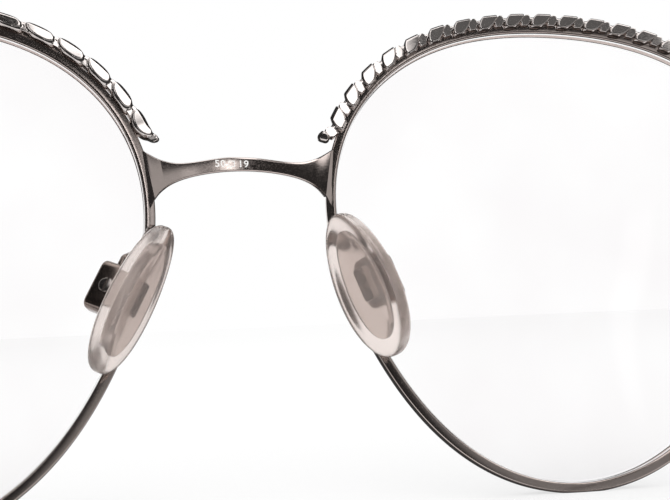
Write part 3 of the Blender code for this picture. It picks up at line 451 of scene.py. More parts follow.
def makeRope(side, label):
    # leaning beads joined by links along a thin core, cut flat on the side that faces the wearer;
    # what would enter the rim moves to its outer face or its rear face, whichever is nearer
    r, own, pitch = ropeFine, ropeFine[label], ropeFine[label]["pitch"]
    fine = np.linspace(r["start"], r["end"], 2400)
    u, v, nu, nv = edge(fine, eye["back"] + own["out"])
    run = running(np.hypot(np.diff(u), np.diff(v)))
    length = run[-1]
    along = np.linspace(0.0, length, int(length / pitch * r["perLobe"]) + 1)
    u, v, nu, nv = (a[:, None] for a in edge(np.interp(along, run, fine), eye["back"] + own["out"]))
    shrink = quarter(np.minimum(along, length - along) / r["endRound"], r["endShare"])
    angle = onceRound(r["around"])[None]
    s = (own["first"] - along)[:, None]
    ahead = (s + pitch / 2.0) % pitch - pitch / 2.0
    beads = flattened(beadReach(own["bead"], pitch, s, angle), angle, own, *r["beadCuts"], ahead)
    joins = flattened(beadReach(own["link"], pitch, s, angle), angle, own, *r["linkCuts"])
    reach = np.maximum(np.maximum(beads, joins) * own["size"], r["core"]) * shrink[:, None]
    curl = r["endOut"] * smooth(along, length - r["endLong"], length)[:, None] ** 1.5
    n = reach * np.cos(angle) + curl
    d = reach * np.sin(angle) + eye["halfDepth"] - r["sunk"]
    below = eye["halfDepth"] + eye["near"] - d
    within = eye["near"] - own["out"] - n
    inside = (below > 0.0) & (within > 0.0)
    n = np.where(inside & (within <= below), n + within, n)
    d = np.where(inside & (within > below), d + below, d)
    grid = place(side, u + n * nu, v + n * nv, d)
    surface(label + "RopeTrim", grid, ropeMetal, sharp=50.0, replaces=label + "_rope_trim")


# bridge

# rise and dip, flare, drop, arch and bottomFlare are in mm; lap is a share of half the bridge
bridgeFine = {
    "height": 10.9 * mm, "halfDepth": 0.85 * mm, "bow": 0.8 * mm, "rise": 0.53, "dip": 0.73, "flare": 11.9,
    "drop": 1.09, "arch": 2.14, "bottomFlare": 1.09, "chamfer": 0.14 * mm, "wideChamfer": 0.3 * mm,
    "foreIn": 0.45 * mm, "soft": 0.05 * mm, "topSoft": 2.6, "foreSoft": 0.42 * mm, "seam": 0.11 * mm,
    "lap": 0.064, "lapSteps": 7, "lapRise": 0.13 * mm, "lapFall": 0.09 * mm, "lapOff": 0.012 * mm,
    "stations": 181, "bunching": 0.85,
}


def bridgeEdges(s):
    # top and bottom of the bar at s, -1 at one rim and 1 at the other; both flare at the ends
    b, w = bridgeFine, np.abs(s)
    top = b["rise"] - b["dip"] * smooth(w, 0.05, 0.7) + b["flare"] * np.maximum(w - 0.66, 0.0) ** 2.2
    bottom = -b["drop"] - b["arch"] * w ** 2 - b["bottomFlare"] * w ** 8
    return b["height"] + top * mm, b["height"] + bottom * mm


nasal = edge(np.linspace(radians(110), radians(205), 400), eye["back"])
nasalOrder = np.argsort(nasal[1])


def bridgeReach(z):
    # x of the rim's outer face on the nose side at each height, less the seam
    across = np.interp(z, nasal[1][nasalOrder], nasal[0][nasalOrder])
    return eye["gap"] / 2.0 + (halfLens + across) * cos(eye["wrap"]) - bridgeFine["seam"]


def bridgePoint(s, z, depth):
    # the bar bows forwards by a parabola; z and depth are measured before the lean
    y = -bridgeFine["bow"] * (1.0 - np.minimum(np.abs(s), 1.0) ** 2) + depth
    return tilt(np.stack(np.broadcast_arrays(s * bridgeReach(z), y, z), -1))


def makeBridge():
    # chamfered oblong sections from rim to rim; past each rim's side a thin lap goes on over its rear
    b, laps = bridgeFine, bridgeFine["lapSteps"]
    s = signedPower(np.linspace(-1.0, 1.0, b["stations"]), b["bunching"])
    lap = 1.0 + b["lap"] * np.linspace(0.0, 1.0, laps)
    s = np.concatenate([-lap[::-1], s, lap])
    onRim = np.repeat([True, False, True], [laps, b["stations"], laps])
    top, bottom = bridgeEdges(s)
    w = np.abs(s)
    rear = b["halfDepth"] + b["lapRise"] * smooth(w, 0.86, 0.98) - b["lapFall"] * smooth(w, 1.0, lap[-1])
    fore = np.where(onRim, eye["halfDepth"] + b["lapOff"], -b["halfDepth"])
    thick = rear - fore
    # the top chamfer is wide on one half only, and narrows towards the rim
    c = b["chamfer"]
    wide = c + (b["wideChamfer"] - c) * smooth(-s, -0.15, 0.1) * (1.0 - 0.6 * smooth(w, 0.85, 1.0))
    cut, topCut = np.minimum(c, thick * 0.45), np.minimum(wide, thick * 0.45)
    foreIn = np.where(onRim, eye["near"], b["foreIn"])
    corners = np.stack([np.stack(p, -1) for p in (
        (bottom, rear - cut), (bottom + c, rear), (top - wide, rear), (top, rear - topCut),
        (top - foreIn, fore), (bottom + foreIn, fore))], 1)
    soft = np.minimum(b["soft"], thick * 0.15)
    large = np.where(onRim, soft, b["foreSoft"])
    loop = roundedLoop(corners, np.stack([soft, soft, soft, soft * b["topSoft"], large, large], 1), 7)
    grid = bridgePoint(s[:, None], loop[..., 0], loop[..., 1])
    surface("bridgeBar", grid, gunmetal, sharp=50.0, replaces="bridge")


# the size marking on the bridge's rear face

# a word or the square has its middle across the bridge, and the square its size; swell and letterStep
# are shares of the letters' size
markFine = {
    "tall": 0.78 * mm, "rise": -0.30 * mm, "slope": 0.25 * mm, "proud": 0.012 * mm, "sunk": -0.03 * mm,
    "line": 0.1 * mm, "words": (("50", 2.05 * mm), ("19", -0.42 * mm)), "square": (0.83 * mm, 0.68 * mm),
    "swell": 0.012, "letterStep": 1.12,
}


def onMarking(x, up, lift):
    # a place on the rear face: x across the bridge, up from the marking's middle line, lift off the metal
    s = x / bridgeReach(bridgeFine["height"])
    z = bridgeFine["height"] + markFine["rise"] + up + markFine["slope"] * s
    return bridgePoint(s, z, bridgeFine["halfDepth"] + lift)


def makeWord(words, middle):
    # letters of the built-in font as thin plates bent onto the face; they run towards the wearer's right
    data = bpy.data.curves.new("typed", "FONT")
    data.body = words
    data.align_x = "CENTER"
    data.extrude, data.offset, data.space_character = 0.01, markFine["swell"], markFine["letterStep"]
    typed = added("typed", data)
    bpy.context.view_layer.update()
    mesh = bpy.data.meshes.new_from_object(typed.evaluated_get(bpy.context.evaluated_depsgraph_get()))
    bpy.data.objects.remove(typed, do_unlink=True)
    flat = np.zeros(len(mesh.vertices) * 3)
    mesh.vertices.foreach_get("co", flat)
    x, y, z = flat.reshape(-1, 3).T
    scale = markFine["tall"] / (y.max() - y.min())
    lift = np.where(z > 0.0, markFine["proud"], markFine["sunk"])
    bent = onMarking(middle - x * scale, (y - (y.max() + y.min()) / 2.0) * scale, lift)
    mesh.vertices.foreach_set("co", bent.ravel())
    mesh.materials.clear()
    mesh.materials.append(digitPaint)
    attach(added("marking" + words, mesh), "front")


def makeMarking():
    # the two numbers, and the small square frame between them as a closed ring
    for words, middle in markFine["words"]:
        makeWord(words, middle)
    middle, wide = markFine["square"]
    a = wide / 2.0 - markFine["line"] * np.array([0.0, 1.0, 1.0, 0.0])
    lift = np.repeat([markFine["proud"], markFine["sunk"]], 2)
    turn = np.array([[-1, 1], [-1, 0], [-1, -1], [0, -1], [1, -1], [1, 0], [1, 1], [0, 1]])
    grid = onMarking(middle + turn[:, :1] * a, turn[:, 1:] * a, lift)
    surface("markingSquare", grid, digitPaint, wrapRows=True, sharp=30.0)


# lenses

lensFine = {"thick": 1.5 * mm, "bulge": 3.0 * mm, "rings": 26, "around": 240, "inmost": 0.03,
            "faceIn": 0.02 * mm, "bevelShare": 0.93}


def makeLens(side, label):
    # rings from the rear middle out over the bevelled edge to the front middle, on a shallow dome
    f = lensFine
    u, v, nu, nv = edge(onceRound(f["around"], closeAngle))
    bevelIn = eye["lip"] + eye["seat"]
    half = eye["groove"] * f["bevelShare"]
    bevel = [place(side, u - inwards * nu, v - inwards * nv, depth)
             for inwards, depth in ((bevelIn, half), (0.0, 0.0), (bevelIn, -half))]
    faceIn = bevelIn + f["faceIn"]
    inset = np.linspace(f["inmost"], 1.0, f["rings"])[:, None]
    u, v = (u - faceIn * nu) * inset, (v - faceIn * nv) * inset
    dome = f["bulge"] * (1.0 - inset ** 2)
    rear, front = (place(side, u, v, k * f["thick"] / 2.0 - dome) for k in (1, -1))
    grid = np.concatenate([rear, np.stack(bevel), front[::-1]])
    surface(label + "Lens", grid, lensPlastic, sharp=25.0, replaces=label + "_lens")


# nose pads and what holds them

# a screw's head is its radius, height and dome, then its slot's width and depth
padFine = {
    "long": 15.2 * mm, "wide": 7.5 * mm, "thick": 2.7 * mm, "x": 11.25 * mm, "y": 6.0 * mm, "slant": -0.05,
    "left": {"height": -4.3 * mm, "lean": radians(26.6), "splay": radians(17.0)},
    "right": {"height": -3.8 * mm, "lean": radians(18.4), "splay": radians(31.0)},
    "fuller": 0.10, "edgePower": 2.0 / 3.4, "around": 120, "rings": 44,
}
coreFine = {"long": 11.4 * mm, "wide": 4.4 * mm, "thick": 0.7 * mm, "footLong": 3.4 * mm,
            "footWide": 1.3 * mm, "footOut": 1.75 * mm, "footPower": 0.3}
boxFine = {"long": 5.0 * mm, "wide": 2.5 * mm, "wall": 0.42 * mm, "floor": 0.45 * mm, "soft": 0.42 * mm,
           "corner": 0.95 * mm, "innerCorner": 0.12 * mm, "lipSoft": 0.09 * mm, "under": 0.4 * mm,
           "mouthOut": 0.32 * mm}
armFine = {"angle": radians(172.5), "radius": 0.45 * mm, "lift": 0.8 * mm, "entry": 0.83 * mm,
           "above": 2.5 * mm, "forward": 1.25 * mm, "behind": 0.5 * mm, "flare": 0.25, "flareLong": 0.05}
padScrewFine = {"head": (0.72 * mm, 0.4 * mm, 0.06 * mm, 0.24 * mm, 0.18 * mm), "shank": 0.42 * mm,
                "out": 0.95 * mm}
padBack = -padFine["thick"] / 2.0
footBack = padBack - coreFine["footOut"]
boxOuter = footBack - boxFine["under"] - boxFine["floor"]
boxMouth = padBack - boxFine["mouthOut"]


def padAxes(label, side):
    # up along the pad, across it to the wearer, and out of its bearing face
    own = padFine[label]
    up = unit([-side * sin(own["lean"]), padFine["slant"], cos(own["lean"])])
    face = np.array([-side * cos(own["splay"]), sin(own["splay"]), 0.0])
    face = unit(face - face.dot(up) * up)
    return up, side * np.cross(face, up), face


def padPoint(label, side, along, wide, out):
    # the pad's own frame to the row frame
    centre = np.array([side * padFine["x"], padFine["y"], padFine[label]["height"]])
    return tilt(framed(centre, *padAxes(label, side), along, wide, out))


def padOutline(t, long, wide):
    # a long oval, a little fuller towards the bottom
    return long / 2.0 * np.cos(t), wide / 2.0 * np.sin(t) * (1.0 - padFine["fuller"] * np.cos(t))


def makePad(side, label):
    # ovals that shrink over a soft rounded edge from the bearing face to the back
    t = onceRound(padFine["around"])[None]
    turn = np.linspace(0.02, pi - 0.02, padFine["rings"])[:, None]
    shrink = np.sin(turn) ** padFine["edgePower"]
    rise = signedPower(np.cos(turn), padFine["edgePower"]) * padFine["thick"] / 2.0
    along, wide = padOutline(t, padFine["long"], padFine["wide"])
    grid = padPoint(label, side, along * shrink, wide * shrink, rise)
    surface(label + "NosePad", grid, silicone, sharp=60.0, replaces=label + "_nose_pad",
            body=label + "_pad_body")


def makeCore(side, label):
    # a thin oval plate with eased edges, then the block that stands on its back
    t, c, h = onceRound(72)[None], coreFine, coreFine["thick"] / 2.0
    scale = np.array([0.05, 0.5, 0.9, 0.97, 1.0, 1.0, 0.97])[:, None]
    level = np.array([1.0, 1.0, 1.0, 0.8, 0.4, -0.7, -1.0])[:, None] * h
    along, wide = padOutline(t, c["long"], c["wide"])
    plate = padPoint(label, side, along * scale, wide * scale, level)
    along = c["footLong"] / 2 * signedPower(np.cos(t), c["footPower"])
    wide = c["footWide"] / 2 * signedPower(np.sin(t), c["footPower"])
    scale = np.array([1.0, 1.0, 0.94])[:, None]
    level = np.array([-h, footBack + 0.1 * mm, footBack])[:, None]
    block = padPoint(label, side, along * scale, wide * scale, level)
    surface(label + "PadCore", np.concatenate([plate, block]), corePlastic, replaces=label + "_pad_core",
            body=label + "_pad_body")


def makeBox(side, label):
    # rounded oblong rings: up the outside with a soft outer edge, over the mouth, and down the inside
    b, r, wall, q = boxFine, boxFine["soft"], boxFine["wall"], boxFine["lipSoft"]
    t = np.linspace(0.0, pi / 2.0, 7)
    rise, fall = 1.0 - np.cos(t), 1.0 - np.sin(t)
    floor = boxOuter + b["floor"]
    inset = np.concatenate([r * fall, q * rise, wall - q * fall, [wall, wall]])
    level = [boxOuter + r * rise, boxMouth - q * fall, boxMouth - q * rise, [floor + 0.1 * mm, floor]]
    corner = np.maximum(b["corner"] - inset, b["innerCorner"])
    along, across = oblong(b["long"] / 2.0 - inset, b["wide"] / 2.0 - inset, corner, 7)
    grid = padPoint(label, side, along, across, np.concatenate(level)[:, None])
    surface(label + "PadBox", grid, boxMetal, replaces=label + "_pad_box")


def makePadScrew(side, label):
    # a slotted head on the wearer's side of the box, and the shank across it
    half, out = boxFine["wide"] / 2.0, padBack - padScrewFine["out"]
    middle = padPoint(label, side, 0.0, 0.0, 0.0)
    up, across = (unit(padPoint(label, side, *step) - middle) for step in np.eye(3)[:2] * mm)
    seat = padPoint(label, side, 0.0, half + eye["near"], out)
    grid = screwHead(seat, across, up, *padScrewFine["head"])
    surface(label + "PadScrewHead", grid, screwSteel, sharp=50.0, replaces=label + "_pad_screw")
    path = padPoint(label, side, 0.0, np.linspace(half + 0.1 * mm, -half - 0.02 * mm, 12), out)
    radius = padScrewFine["shank"] * np.sqrt(1.0 - np.linspace(-0.2, 0.75, 12).clip(0, 1) ** 8)
    surface(label + "PadScrewShank", wire(path, radius, up), screwSteel)


def makeArm(side, label):
    # a round wire from the rim's rear face, back past the pad's outer side and down to the box's top end
    a, top, entry = armFine, boxFine["long"] / 2.0, boxMouth - armFine["entry"]
    u, v = edge(a["angle"], eye["back"] * 0.2)[:2]
    foot, lift = (place(side, u, v, eye["halfDepth"] + rise) for rise in (eye["near"], a["lift"]))
    end, before = (padPoint(label, side, top + rise, 0.0, entry) for rise in (eye["near"], a["lift"]))
    across = -boxFine["wide"] / 2.0 - a["forward"]
    middle = padPoint(label, side, top + a["above"], across, entry - a["behind"])
    path = np.concatenate([[foot], curveThrough([lift, middle, before], 60), [end]])
    flare = np.clip(1.0 - np.linspace(0.0, 1.0, len(path)) / a["flareLong"], 0.0, 1.0)
    grid = wire(path, a["radius"] * (1.0 + a["flare"] * flare), (0.0, 1.0, 0.2))
    surface(label + "PadArm", grid, boxMetal, replaces=label + "_pad_arm")


# closing blocks, end pieces and hinges

jointFine = {
    "seam": 0.05 * mm, "blockTall": 1.5 * mm, "blockWide": 2.3 * mm, "blockShort": 0.12 * mm,
    "blockDeep": 2.2 * mm, "blockSoft": 0.16 * mm,
    "rimScrew": (0.8 * mm, 0.35 * mm, 0.04 * mm, 0.24 * mm, 0.16 * mm),
    "endTall": 3.0 * mm, "endThick": 1.3 * mm, "endSoft": 0.22 * mm, "endCorner": 0.34 * mm,
    "endLeave": 1.2 * mm, "endTurns": ((0.8 * mm, 2.0 * mm), (0.1 * mm, 4.6 * mm)),
    "endRun": (-2.0 * mm, 0.9 * mm), "barOut": 1.3 * mm,
    "barrel": 1.1 * mm, "barrelLong": 1.0 * mm, "barrelGap": 0.06 * mm, "bore": 0.54 * mm,
    "overlap": 0.2 * mm, "armIn": 0.55 * mm, "armFrom": 0.62 * mm, "armPast": 0.6 * mm, "armSoft": 0.1 * mm,
    "leaf": 0.6 * mm, "leafFrom": 0.12 * mm, "leafLong": 4.6 * mm, "leafHalf": (1.35 * mm, 1.2 * mm),
    "leafSoft": 0.12 * mm, "pin": 0.5 * mm,
    "pinScrew": (0.85 * mm, 0.4 * mm, 0.06 * mm, 0.26 * mm, 0.18 * mm),
}
# how far out the middle lines of the end pieces' rear part and of the temples are
barX = hingeX + jointFine["barrel"] - jointFine["overlap"] + jointFine["barOut"]


def closeFrame(side):
    # the closing block's middle on the rim, with up along the rim, outwards, and back
    u, v, nu, nv = edge(closeAngle)
    middle = place(side, u, v, 0.0)
    out = unit(place(side, u + nu * mm, v + nv * mm, 0.0) - middle)
    back = unit(place(side, u, v, mm) - middle)
    along = unit(place(side, u - nv * mm, v + nu * mm, 0.0) - middle)
    return middle, along, out, back


def makeClosing(side, label):
    # two eased blocks that meet at the rim's gap, and the slotted screw under them
    j = jointFine
    middle, along, out, back = closeFrame(side)
    half = (j["blockWide"] - j["blockShort"]) / 2.0
    centre = middle + (eye["back"] + j["seam"] + half) * out
    tall = (j["blockTall"] - j["seam"]) / 2.0
    for name, sign in (("upper", 1.0), ("lower", -1.0)):
        grid = easedBlock(centre + sign * (j["seam"] + tall) * along, along, out, back,
                          (tall, half, j["blockDeep"] / 2.0), j["blockSoft"])
        surface(label + name.capitalize() + "Block", grid, gunmetal, replaces=label + "_" + name + "_block")
    grid = screwHead(centre - (j["blockTall"] + eye["near"]) * along, -along, out, *j["rimScrew"])
    surface(label + "RimScrew", grid, screwSteel, sharp=50.0, replaces=label + "_rim_screw")


def makeEndPiece(side, label):
    # a rounded flat bar along a curve from the closing block's outer side back to the hinge
    j = jointFine
    middle, along, out, back = closeFrame(side)
    start = middle + (eye["back"] + j["blockWide"]) * out
    route = [start, start + j["endLeave"] * out]
    route += [(side * (barX - inwards), start[1] + behind, hingeZ) for inwards, behind in j["endTurns"]]
    route += [(side * barX, hingeRowY + behind, hingeZ) for behind in j["endRun"]]
    f = np.linspace(0.0, 14.0, 113)
    path = curveThrough(route, len(f))
    axis = unit(np.gradient(path, axis=0))
    axis[0] = out
    lean = smooth(f, 1.0, 8.0)[:, None]
    up = unit(along * (1.0 - lean) + np.array([0.0, 0.0, 1.0]) * lean)
    sideways = unit(np.cross(axis, up))
    up = unit(np.cross(sideways, axis))
    ease = j["endSoft"] * (1.0 - np.clip(np.minimum(f, f[::-1]) / 0.5, 0.0, 1.0))
    corner = np.maximum(j["endCorner"] - ease, 0.1 * mm)
    section = oblong(j["endThick"] / 2.0 - ease, j["endTall"] / 2.0 - ease, corner, 7)
    grid = carried(path, sideways, up, *section)
    surface(label + "EndPiece", grid, gunmetal, replaces=label + "_end_piece")


def makeHinge(side, label):
    # barrels are rounded rings on one pin; each leaf is an eased plate with eased arms to its barrels
    j, x, half = jointFine, side * hingeX, jointFine["barrelLong"] / 2
    pitch = j["barrelLong"] + j["barrelGap"]
    wall = side * (barX - j["endThick"] / 2.0 - eye["near"])
    eX, eY, eZ = np.eye(3)
    corners = [(j["bore"], -half), (j["barrel"], -half), (j["barrel"], half), (j["bore"], half)]
    far, level = roundedLoop(corners, np.array([0.03, 0.12, 0.12, 0.03]) * mm, 5).T
    turn = onceRound(72)[:, None]
    leaves = {"Front": (label + "_hinge_front", "front", -1.0, j["leafHalf"][0]),
              "Temple": (label + "_hinge_temple", label + "_temple_body", 1.0, j["leafHalf"][1])}
    for k, leaf in enumerate(("Front", "Temple", "Front")):
        node, body, direction, tall = leaves[leaf]
        z = hingeZ + (k - 1) * pitch
        grid = framed((x, hingeRowY, z), eX, eY, eZ, far * np.cos(turn), far * np.sin(turn), level)
        surface(label + "Barrel%d" % k, grid, gunmetal, wrapRows=True, replaces=node, body=body)
        low = x + side * j["armIn"]
        nearY, farY = j["armFrom"], j["barrel"] + j["armPast"]
        grid = easedBlock(((low + wall) / 2, hingeRowY + direction * (nearY + farY) / 2, z), eX, eY, eZ,
                          (abs(wall - low) / 2, (farY - nearY) / 2, half), j["armSoft"])
        surface(label + "BarrelArm%d" % k, grid, gunmetal, body=body)
    plateX = wall - side * j["leaf"] / 2.0
    nearY, farY = j["barrel"] + j["leafFrom"], j["leafLong"]
    for leaf, (node, body, direction, tall) in leaves.items():
        grid = easedBlock((plateX, hingeRowY + direction * (nearY + farY) / 2, hingeZ), eY, eZ, eX,
                          ((farY - nearY) / 2, tall, j["leaf"] / 2), j["leafSoft"])
        surface(label + leaf + "Leaf", grid, gunmetal, replaces=node, body=body)
    top = hingeZ + pitch + half + eye["near"]
    grid = screwHead((x, hingeRowY, top), eZ, eX, *j["pinScrew"])
    surface(label + "HingeScrewHead", grid, screwSteel, sharp=50.0, replaces=label + "_hinge_screw")
    ends = np.linspace(top + 0.05 * mm, hingeZ - pitch - half, 20)
    path = np.stack(np.broadcast_arrays(x, hingeRowY, ends), -1)
    radius = j["pin"] * np.where(np.arange(20) == 19, 0.86, 1.0)
    surface(label + "HingePin", wire(path, radius, (1.0, 0.0, 0.0)), screwSteel)


# temples and tips

templeFine = {
    "long": 145.0 * mm, "thick": 1.1 * mm, "tall": 3.0 * mm, "tailTall": 2.0 * mm, "soft": 0.2 * mm,
    "rod": (0.45 * mm, 0.62 * mm), "behind": 1.25 * mm, "bendAt": 98.0 * mm, "before": 9.0 * mm,
    "after": 13.0 * mm, "inward": radians(2.0), "inwardFrom": 20.0 * mm, "inwardTo": 60.0 * mm,
    "tipInward": radians(4.0), "tipInwardLong": 30.0 * mm, "rodShort": 14.0 * mm, "flat": 0.3 * mm,
    "tipStart": 78.0 * mm, "wallSide": 0.75 * mm, "wallUp": 0.9 * mm, "swell": 0.9 * mm, "mouth": 0.05 * mm,
    "roundLong": 4.0 * mm, "lastSteps": np.array([1.0, 1.9, 2.7, 3.2, 3.5]) * mm,
}


def templeRoute(side, drop):
    # steps along the temple turned down by the drop at the ear and inwards a little, summed up
    f = templeFine
    long = f["long"] - f["lastSteps"][-1]
    total = np.concatenate([long * np.arange(34) / 33.0, long + f["lastSteps"]])
    step = np.diff(total)
    bend = drop * smooth(total, f["bendAt"] - f["before"], f["bendAt"] + f["after"])
    inward = f["inward"] * smooth(total, f["inwardFrom"], f["inwardTo"])
    inward = inward + f["tipInward"] * smooth(total, f["bendAt"], f["bendAt"] + f["tipInwardLong"])
    x = side * (barX - running(step * np.sin(inward[1:])))
    y = hingeRowY + f["behind"] + running(step * np.cos(bend[1:]))
    z = hingeZ - running(step * np.sin(bend[1:]))
    return np.stack([x, y, z], -1), bend, total


def tipHalfTall(total):
    # half the tip's height: the rod and the wall, swelling from the bend to the end
    f = templeFine
    return f["rod"][1] + f["wallUp"] + f["swell"] * smooth(total, f["bendAt"], f["long"])


def tipClose(total):
    # the tip's end rounds off as a quarter circle
    return np.maximum(quarter((templeFine["long"] - total) / templeFine["roundLong"]), sqrt(0.05))


def findDrop():
    # the drop whose lowest point of the tip comes to the level that the rims rest on, by halving
    low, high = radians(20.0), radians(60.0)
    for step in range(40):
        drop = (low + high) / 2.0
        path, bend, total = templeRoute(1, drop)
        under = path[:, 2] - tipHalfTall(total) * tipClose(total) * np.cos(bend)
        if under[total > templeFine["tipStart"]].min() > -templeFine["flat"]:
            low = drop
        else:
            high = drop
    return drop


templeDrop = findDrop()


def templeFrame(side, count, first, last):
    # the route as a smooth curve between two lengths, with the length so far and two square directions
    path, bend, total = templeRoute(side, templeDrop)
    fine = curveThrough(np.concatenate([path, total[:, None]], 1), count)
    path, total = fine[:, :3], fine[:, 3]
    axis = unit(np.gradient(path, axis=0))
    sideways = unit(np.cross(axis, (0.0, 0.0, 1.0)))
    keep = (total >= first) & (total < last)
    return [a[keep] for a in (path, total, sideways, unit(np.cross(sideways, axis)))]


def makeTemple(side, label):
    # a rounded bar, tall at the hinge, drawn down to the rod that the tip is pushed over
    f, (rodWide, rodTall) = templeFine, templeFine["rod"]
    path, total, sideways, up = templeFrame(side, 620, 0.0, f["long"] - f["rodShort"])
    rod = smooth(total, f["tipStart"] - 0.3 * mm, f["tipStart"] + 0.1 * mm)
    wide = f["thick"] / 2.0 * (1.0 - rod) + rodWide * rod
    tall = (f["tall"] + (f["tailTall"] - f["tall"]) * smooth(total, 15 * mm, 70 * mm)) / 2.0
    tall = tall * (1.0 - rod) + rodTall * rod
    ease = f["soft"] * (1.0 - quarter(total / (0.25 * mm)))
    grid = carried(path, sideways, up, *oblong(wide - ease, tall - ease, wide * 0.55 - ease * 0.9, 7))
    surface(label + "Temple", grid, gunmetal, replaces=label + "_temple", body=label + "_temple_body")


def makeTip(side, label):
    # oval rings from a small mouth on the rod to the rounded end, resting flat where they touch the ground
    f, (rodWide, rodTall) = templeFine, templeFine["rod"]
    path, total, sideways, up = templeFrame(side, 900, f["tipStart"] + 0.5 * mm, f["long"] - 0.08 * mm)
    opening = (0.72 + 0.28 * smooth(total, total[0], total[0] + 7 * mm)) * tipClose(total)
    lip = quarter((total - total[0]) / (0.5 * mm))
    mouthWide, mouthTall = rodWide + f["mouth"], rodTall + f["mouth"]
    wide = mouthWide + ((rodWide + f["wallSide"]) * opening - mouthWide) * lip
    tall = mouthTall + (tipHalfTall(total) * opening - mouthTall) * lip
    t = onceRound(48)
    grid = carried(path, sideways, up, wide[:, None] * np.cos(t), tall[:, None] * np.sin(t))
    grid[..., 2] = np.maximum(grid[..., 2], 0.0)
    surface(label + "TempleTip", grid, tipPlastic, sharp=60.0, replaces=label + "_temple_tip",
            body=label + "_temple_body")


for side, label in ((1, "left"), (-1, "right")):
    for make in (makeRim, makeRope, makeLens, makePad, makeCore, makeBox, makePadScrew, makeArm):
        make(side, label)
    print(label, "rim, rope, lens and pad ready")
    for make in (makeClosing, makeEndPiece, makeHinge, makeTemple, makeTip):
        make(side, label)
    print(label, "hinge and temple ready")
makeBridge()
makeMarking()
print("bridge ready")


# camera, floor and light

photoView = {"width": 670, "focal": 921.4, "at": (9.59 * mm, 20.38 * mm, 18.91 * mm),
             "azimuth": radians(11.41), "elevation": radians(-4.07), "roll": radians(-2.54)}


def makeCamera():
    # back is the direction from the object to the camera; roll turns the picture about it
    az, el, roll = photoView["azimuth"], photoView["elevation"], photoView["roll"]
    back = Vector((sin(az) * cos(el), cos(az) * cos(el), sin(el)))
    right = Vector((0.0, 0.0, 1.0)).cross(back).normalized()
    up = back.cross(right)
    across = cos(roll) * right + sin(roll) * up
    upright = cos(roll) * up - sin(roll) * right
    data = bpy.data.cameras.new("photoCamera")
    data.sensor_width = 36.0
    data.lens = photoView["focal"] * 36.0 / photoView["width"]
    data.clip_start = 0.002
    data.clip_end = 20.0
    made = added("photoCamera", data)
    made.matrix_world = Matrix.Translation(Vector(photoView["at"])) @ Matrix(
        (across, upright, back)).transposed().to_4x4()
    bpy.context.scene.camera = made


def sumOf(tree, first, *others, kind="ADD"):
    # several values added, multiplied or compared in turn
    for other in others:
        first = newNode(tree, "Math", {0: first, 1: other}, operation=kind).outputs[0]
    return first


def band(tree, source, riseFrom, riseTo, fallFrom, fallTo):
    # 0 that rises softly to 1 and then falls back to 0
    rise = spread(tree, source, 0.0, 1.0, riseFrom, riseTo, "SMOOTHSTEP")
    fall = spread(tree, source, 1.0, 0.0, fallFrom, fallTo, "SMOOTHSTEP")
    return sumOf(tree, rise, fall, kind="MULTIPLY")


def mixed(tree, share, first, second):
    # a share of the second shader, and the rest of the first
    return newNode(tree, "MixShader", {"Fac": share, 1: first, 2: second}).outputs[0]


# the strip is the y at which the floor's light starts and ends to rise, and starts and ends to fall
floorFine = {"half": 2.0, "cameraShare": 0.7, "dim": 0.05, "bright": 1.1,
             "strip": (-0.070, -0.054, -0.036, -0.024)}


def makeFloor():
    # a level sheet, white to the camera with its shadow; metal sees it dark, with a bright strip across
    r = floorFine["half"]
    mesh = bpy.data.meshes.new("floorSheet")
    mesh.from_pydata([(-r, -r, 0.0), (r, -r, 0.0), (r, r, 0.0), (-r, r, 0.0)], [], [(0, 1, 2, 3)])
    paper, tree, shader = newMaterial("floorPaper")
    mesh.materials.append(paper)
    feed(tree, shader, {"Base Color": (0.96, 0.96, 0.96, 1.0), "Roughness": 0.9, "Specular IOR Level": 0.0})
    ray = newNode(tree, "LightPath").outputs
    seen = sumOf(tree, ray["Is Camera Ray"], ray["Is Transmission Ray"], kind="MAXIMUM")
    share = sumOf(tree, seen, floorFine["cameraShare"], kind="MULTIPLY")
    plain = mixed(tree, share, shader.outputs["BSDF"], newNode(tree, "Emission").outputs[0])
    spot = newNode(tree, "SeparateXYZ", {0: newNode(tree, "TexCoord").outputs["Object"]})
    strip = band(tree, spot.outputs["Y"], *floorFine["strip"])
    strength = spread(tree, strip, floorFine["dim"], floorFine["bright"], 0.0, 1.0)
    glow = newNode(tree, "Emission", {"Strength": strength}).outputs[0]
    notThrough = sumOf(tree, 1.0, ray["Is Transmission Ray"], kind="SUBTRACT")
    metal = sumOf(tree, notThrough, ray["Is Glossy Ray"], kind="MULTIPLY")
    feed(tree, tree.nodes["Material Output"], {"Surface": mixed(tree, metal, plain, glow)})
    added("floorSheet", mesh)


# what polished metal sees: strength, then azimuth and elevation in degrees, each low, high and soft
studioCards = [
    (0.8, -400, 400, 1, 76, 120, 5),
    (2.0, 158, 400, 3, 56, 76, 3),
    (2.0, -400, -158, 3, 56, 76, 3),
    (2.0, 3, 34, 3, 34, 64, 3),
    (2.0, -84, -41.5, 1.5, 40, 60, 3),
    (2.0, -84, -27, 2, 57, 76, 2),
    (0.11, -44, 0, 4, 42, 58, 4),
    (2.8, -9.0, -6.9, 0.5, 17, 28, 2),
    (0.46, -23, -16.8, 0.5, 17, 28, 2),
    (0.46, -70, -23, 0.5, 6, 34, 3),
    (0.66, -16.8, -13.4, 0.5, 17, 28, 2),
    (0.27, -13.4, -9.0, 0.5, 17, 28, 2),
    (0.24, -24, -7, 4, -2, 13, 3),
]
# the room round the cards, and what clear pieces see: two strengths, and the y where they change
studioRoom = {"metal": (0.03, 1.0, -0.95, -0.985), "clear": (1.03, 0.3, -0.75, 0.1)}


def background(tree, strength):
    # white light of that strength
    return newNode(tree, "Background", {"Color": (1.0, 1.0, 1.0, 1.0), "Strength": strength}).outputs[0]


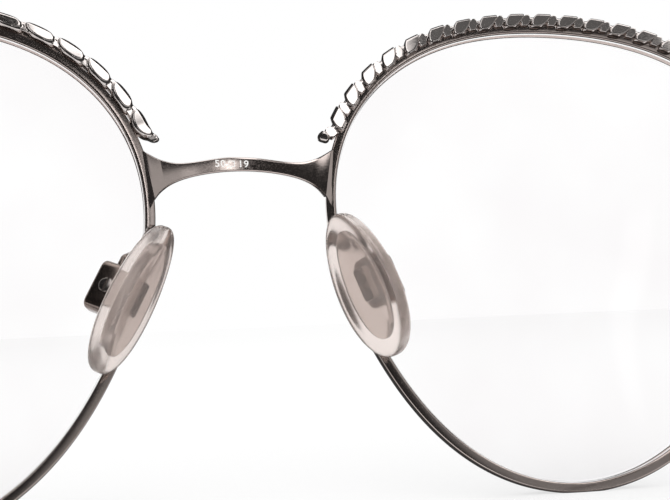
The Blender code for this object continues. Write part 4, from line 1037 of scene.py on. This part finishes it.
def makeWorld():
    # white for the camera; clear pieces see white ahead and less round the sides; metal sees the cards
    world = bpy.data.worlds.new("studio")
    bpy.context.scene.world = world
    world.use_nodes = True
    tree = world.node_tree
    tree.nodes.clear()
    x, y, z = newNode(tree, "SeparateXYZ", {0: newNode(tree, "TexCoord").outputs["Generated"]}).outputs
    degrees = 180.0 / pi
    azimuth = sumOf(tree, sumOf(tree, x, y, kind="ARCTAN2"), degrees, kind="MULTIPLY")
    rise = newNode(tree, "Math", {0: z}, operation="ARCSINE").outputs[0]
    elevation = sumOf(tree, rise, degrees, kind="MULTIPLY")
    total = spread(tree, y, *studioRoom["metal"], "SMOOTHSTEP")
    for strength, azLow, azHigh, azSoft, elLow, elHigh, elSoft in studioCards:
        card = band(tree, elevation, elLow - elSoft, elLow + elSoft, elHigh - elSoft, elHigh + elSoft)
        card = sumOf(tree, card, strength, kind="MULTIPLY")
        if azHigh - azLow < 360:
            across = band(tree, azimuth, azLow - azSoft, azLow + azSoft, azHigh - azSoft, azHigh + azSoft)
            card = sumOf(tree, card, across, kind="MULTIPLY")
        total = sumOf(tree, total, card)
    clear = background(tree, spread(tree, y, *studioRoom["clear"], "SMOOTHSTEP"))
    ray = newNode(tree, "LightPath").outputs
    plain = mixed(tree, ray["Is Glossy Ray"], background(tree, 1.0), background(tree, total))
    newNode(tree, "OutputWorld", {"Surface": mixed(tree, ray["Is Transmission Ray"], plain, clear)})


lampFine = {"at": (0.1, -0.1, 0.6), "toward": (0.0, -0.03, 0.0), "size": 0.5, "power": 0.6}


def makeLamp():
    # a square soft lamp that faces a point
    data = bpy.data.lights.new("overLamp", "AREA")
    data.shape = "RECTANGLE"
    data.size = data.size_y = lampFine["size"]
    data.energy = lampFine["power"]
    made = added("overLamp", data)
    made.location = lampFine["at"]
    facing = Vector(lampFine["toward"]) - Vector(lampFine["at"])
    made.rotation_euler = facing.to_track_quat("-Z", "Y").to_euler()


slotFinish = {"gunmetal": gunmetal, "rope_metal": ropeMetal, "lens_plastic": lensPlastic,
              "silicone": silicone, "core_plastic": corePlastic, "screw_steel": screwSteel,
              "tip_plastic": tipPlastic}
for nodeName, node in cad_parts.items():
    for k, slot in enumerate(node.data.materials):
        node.data.materials[k] = slotFinish.get(slot.name.split(".")[0], gunmetal) if slot else gunmetal
makeCamera()
makeFloor()
makeWorld()
makeLamp()
bpy.context.scene.view_settings.view_transform = "Standard"

bpy.context.view_layer.update()
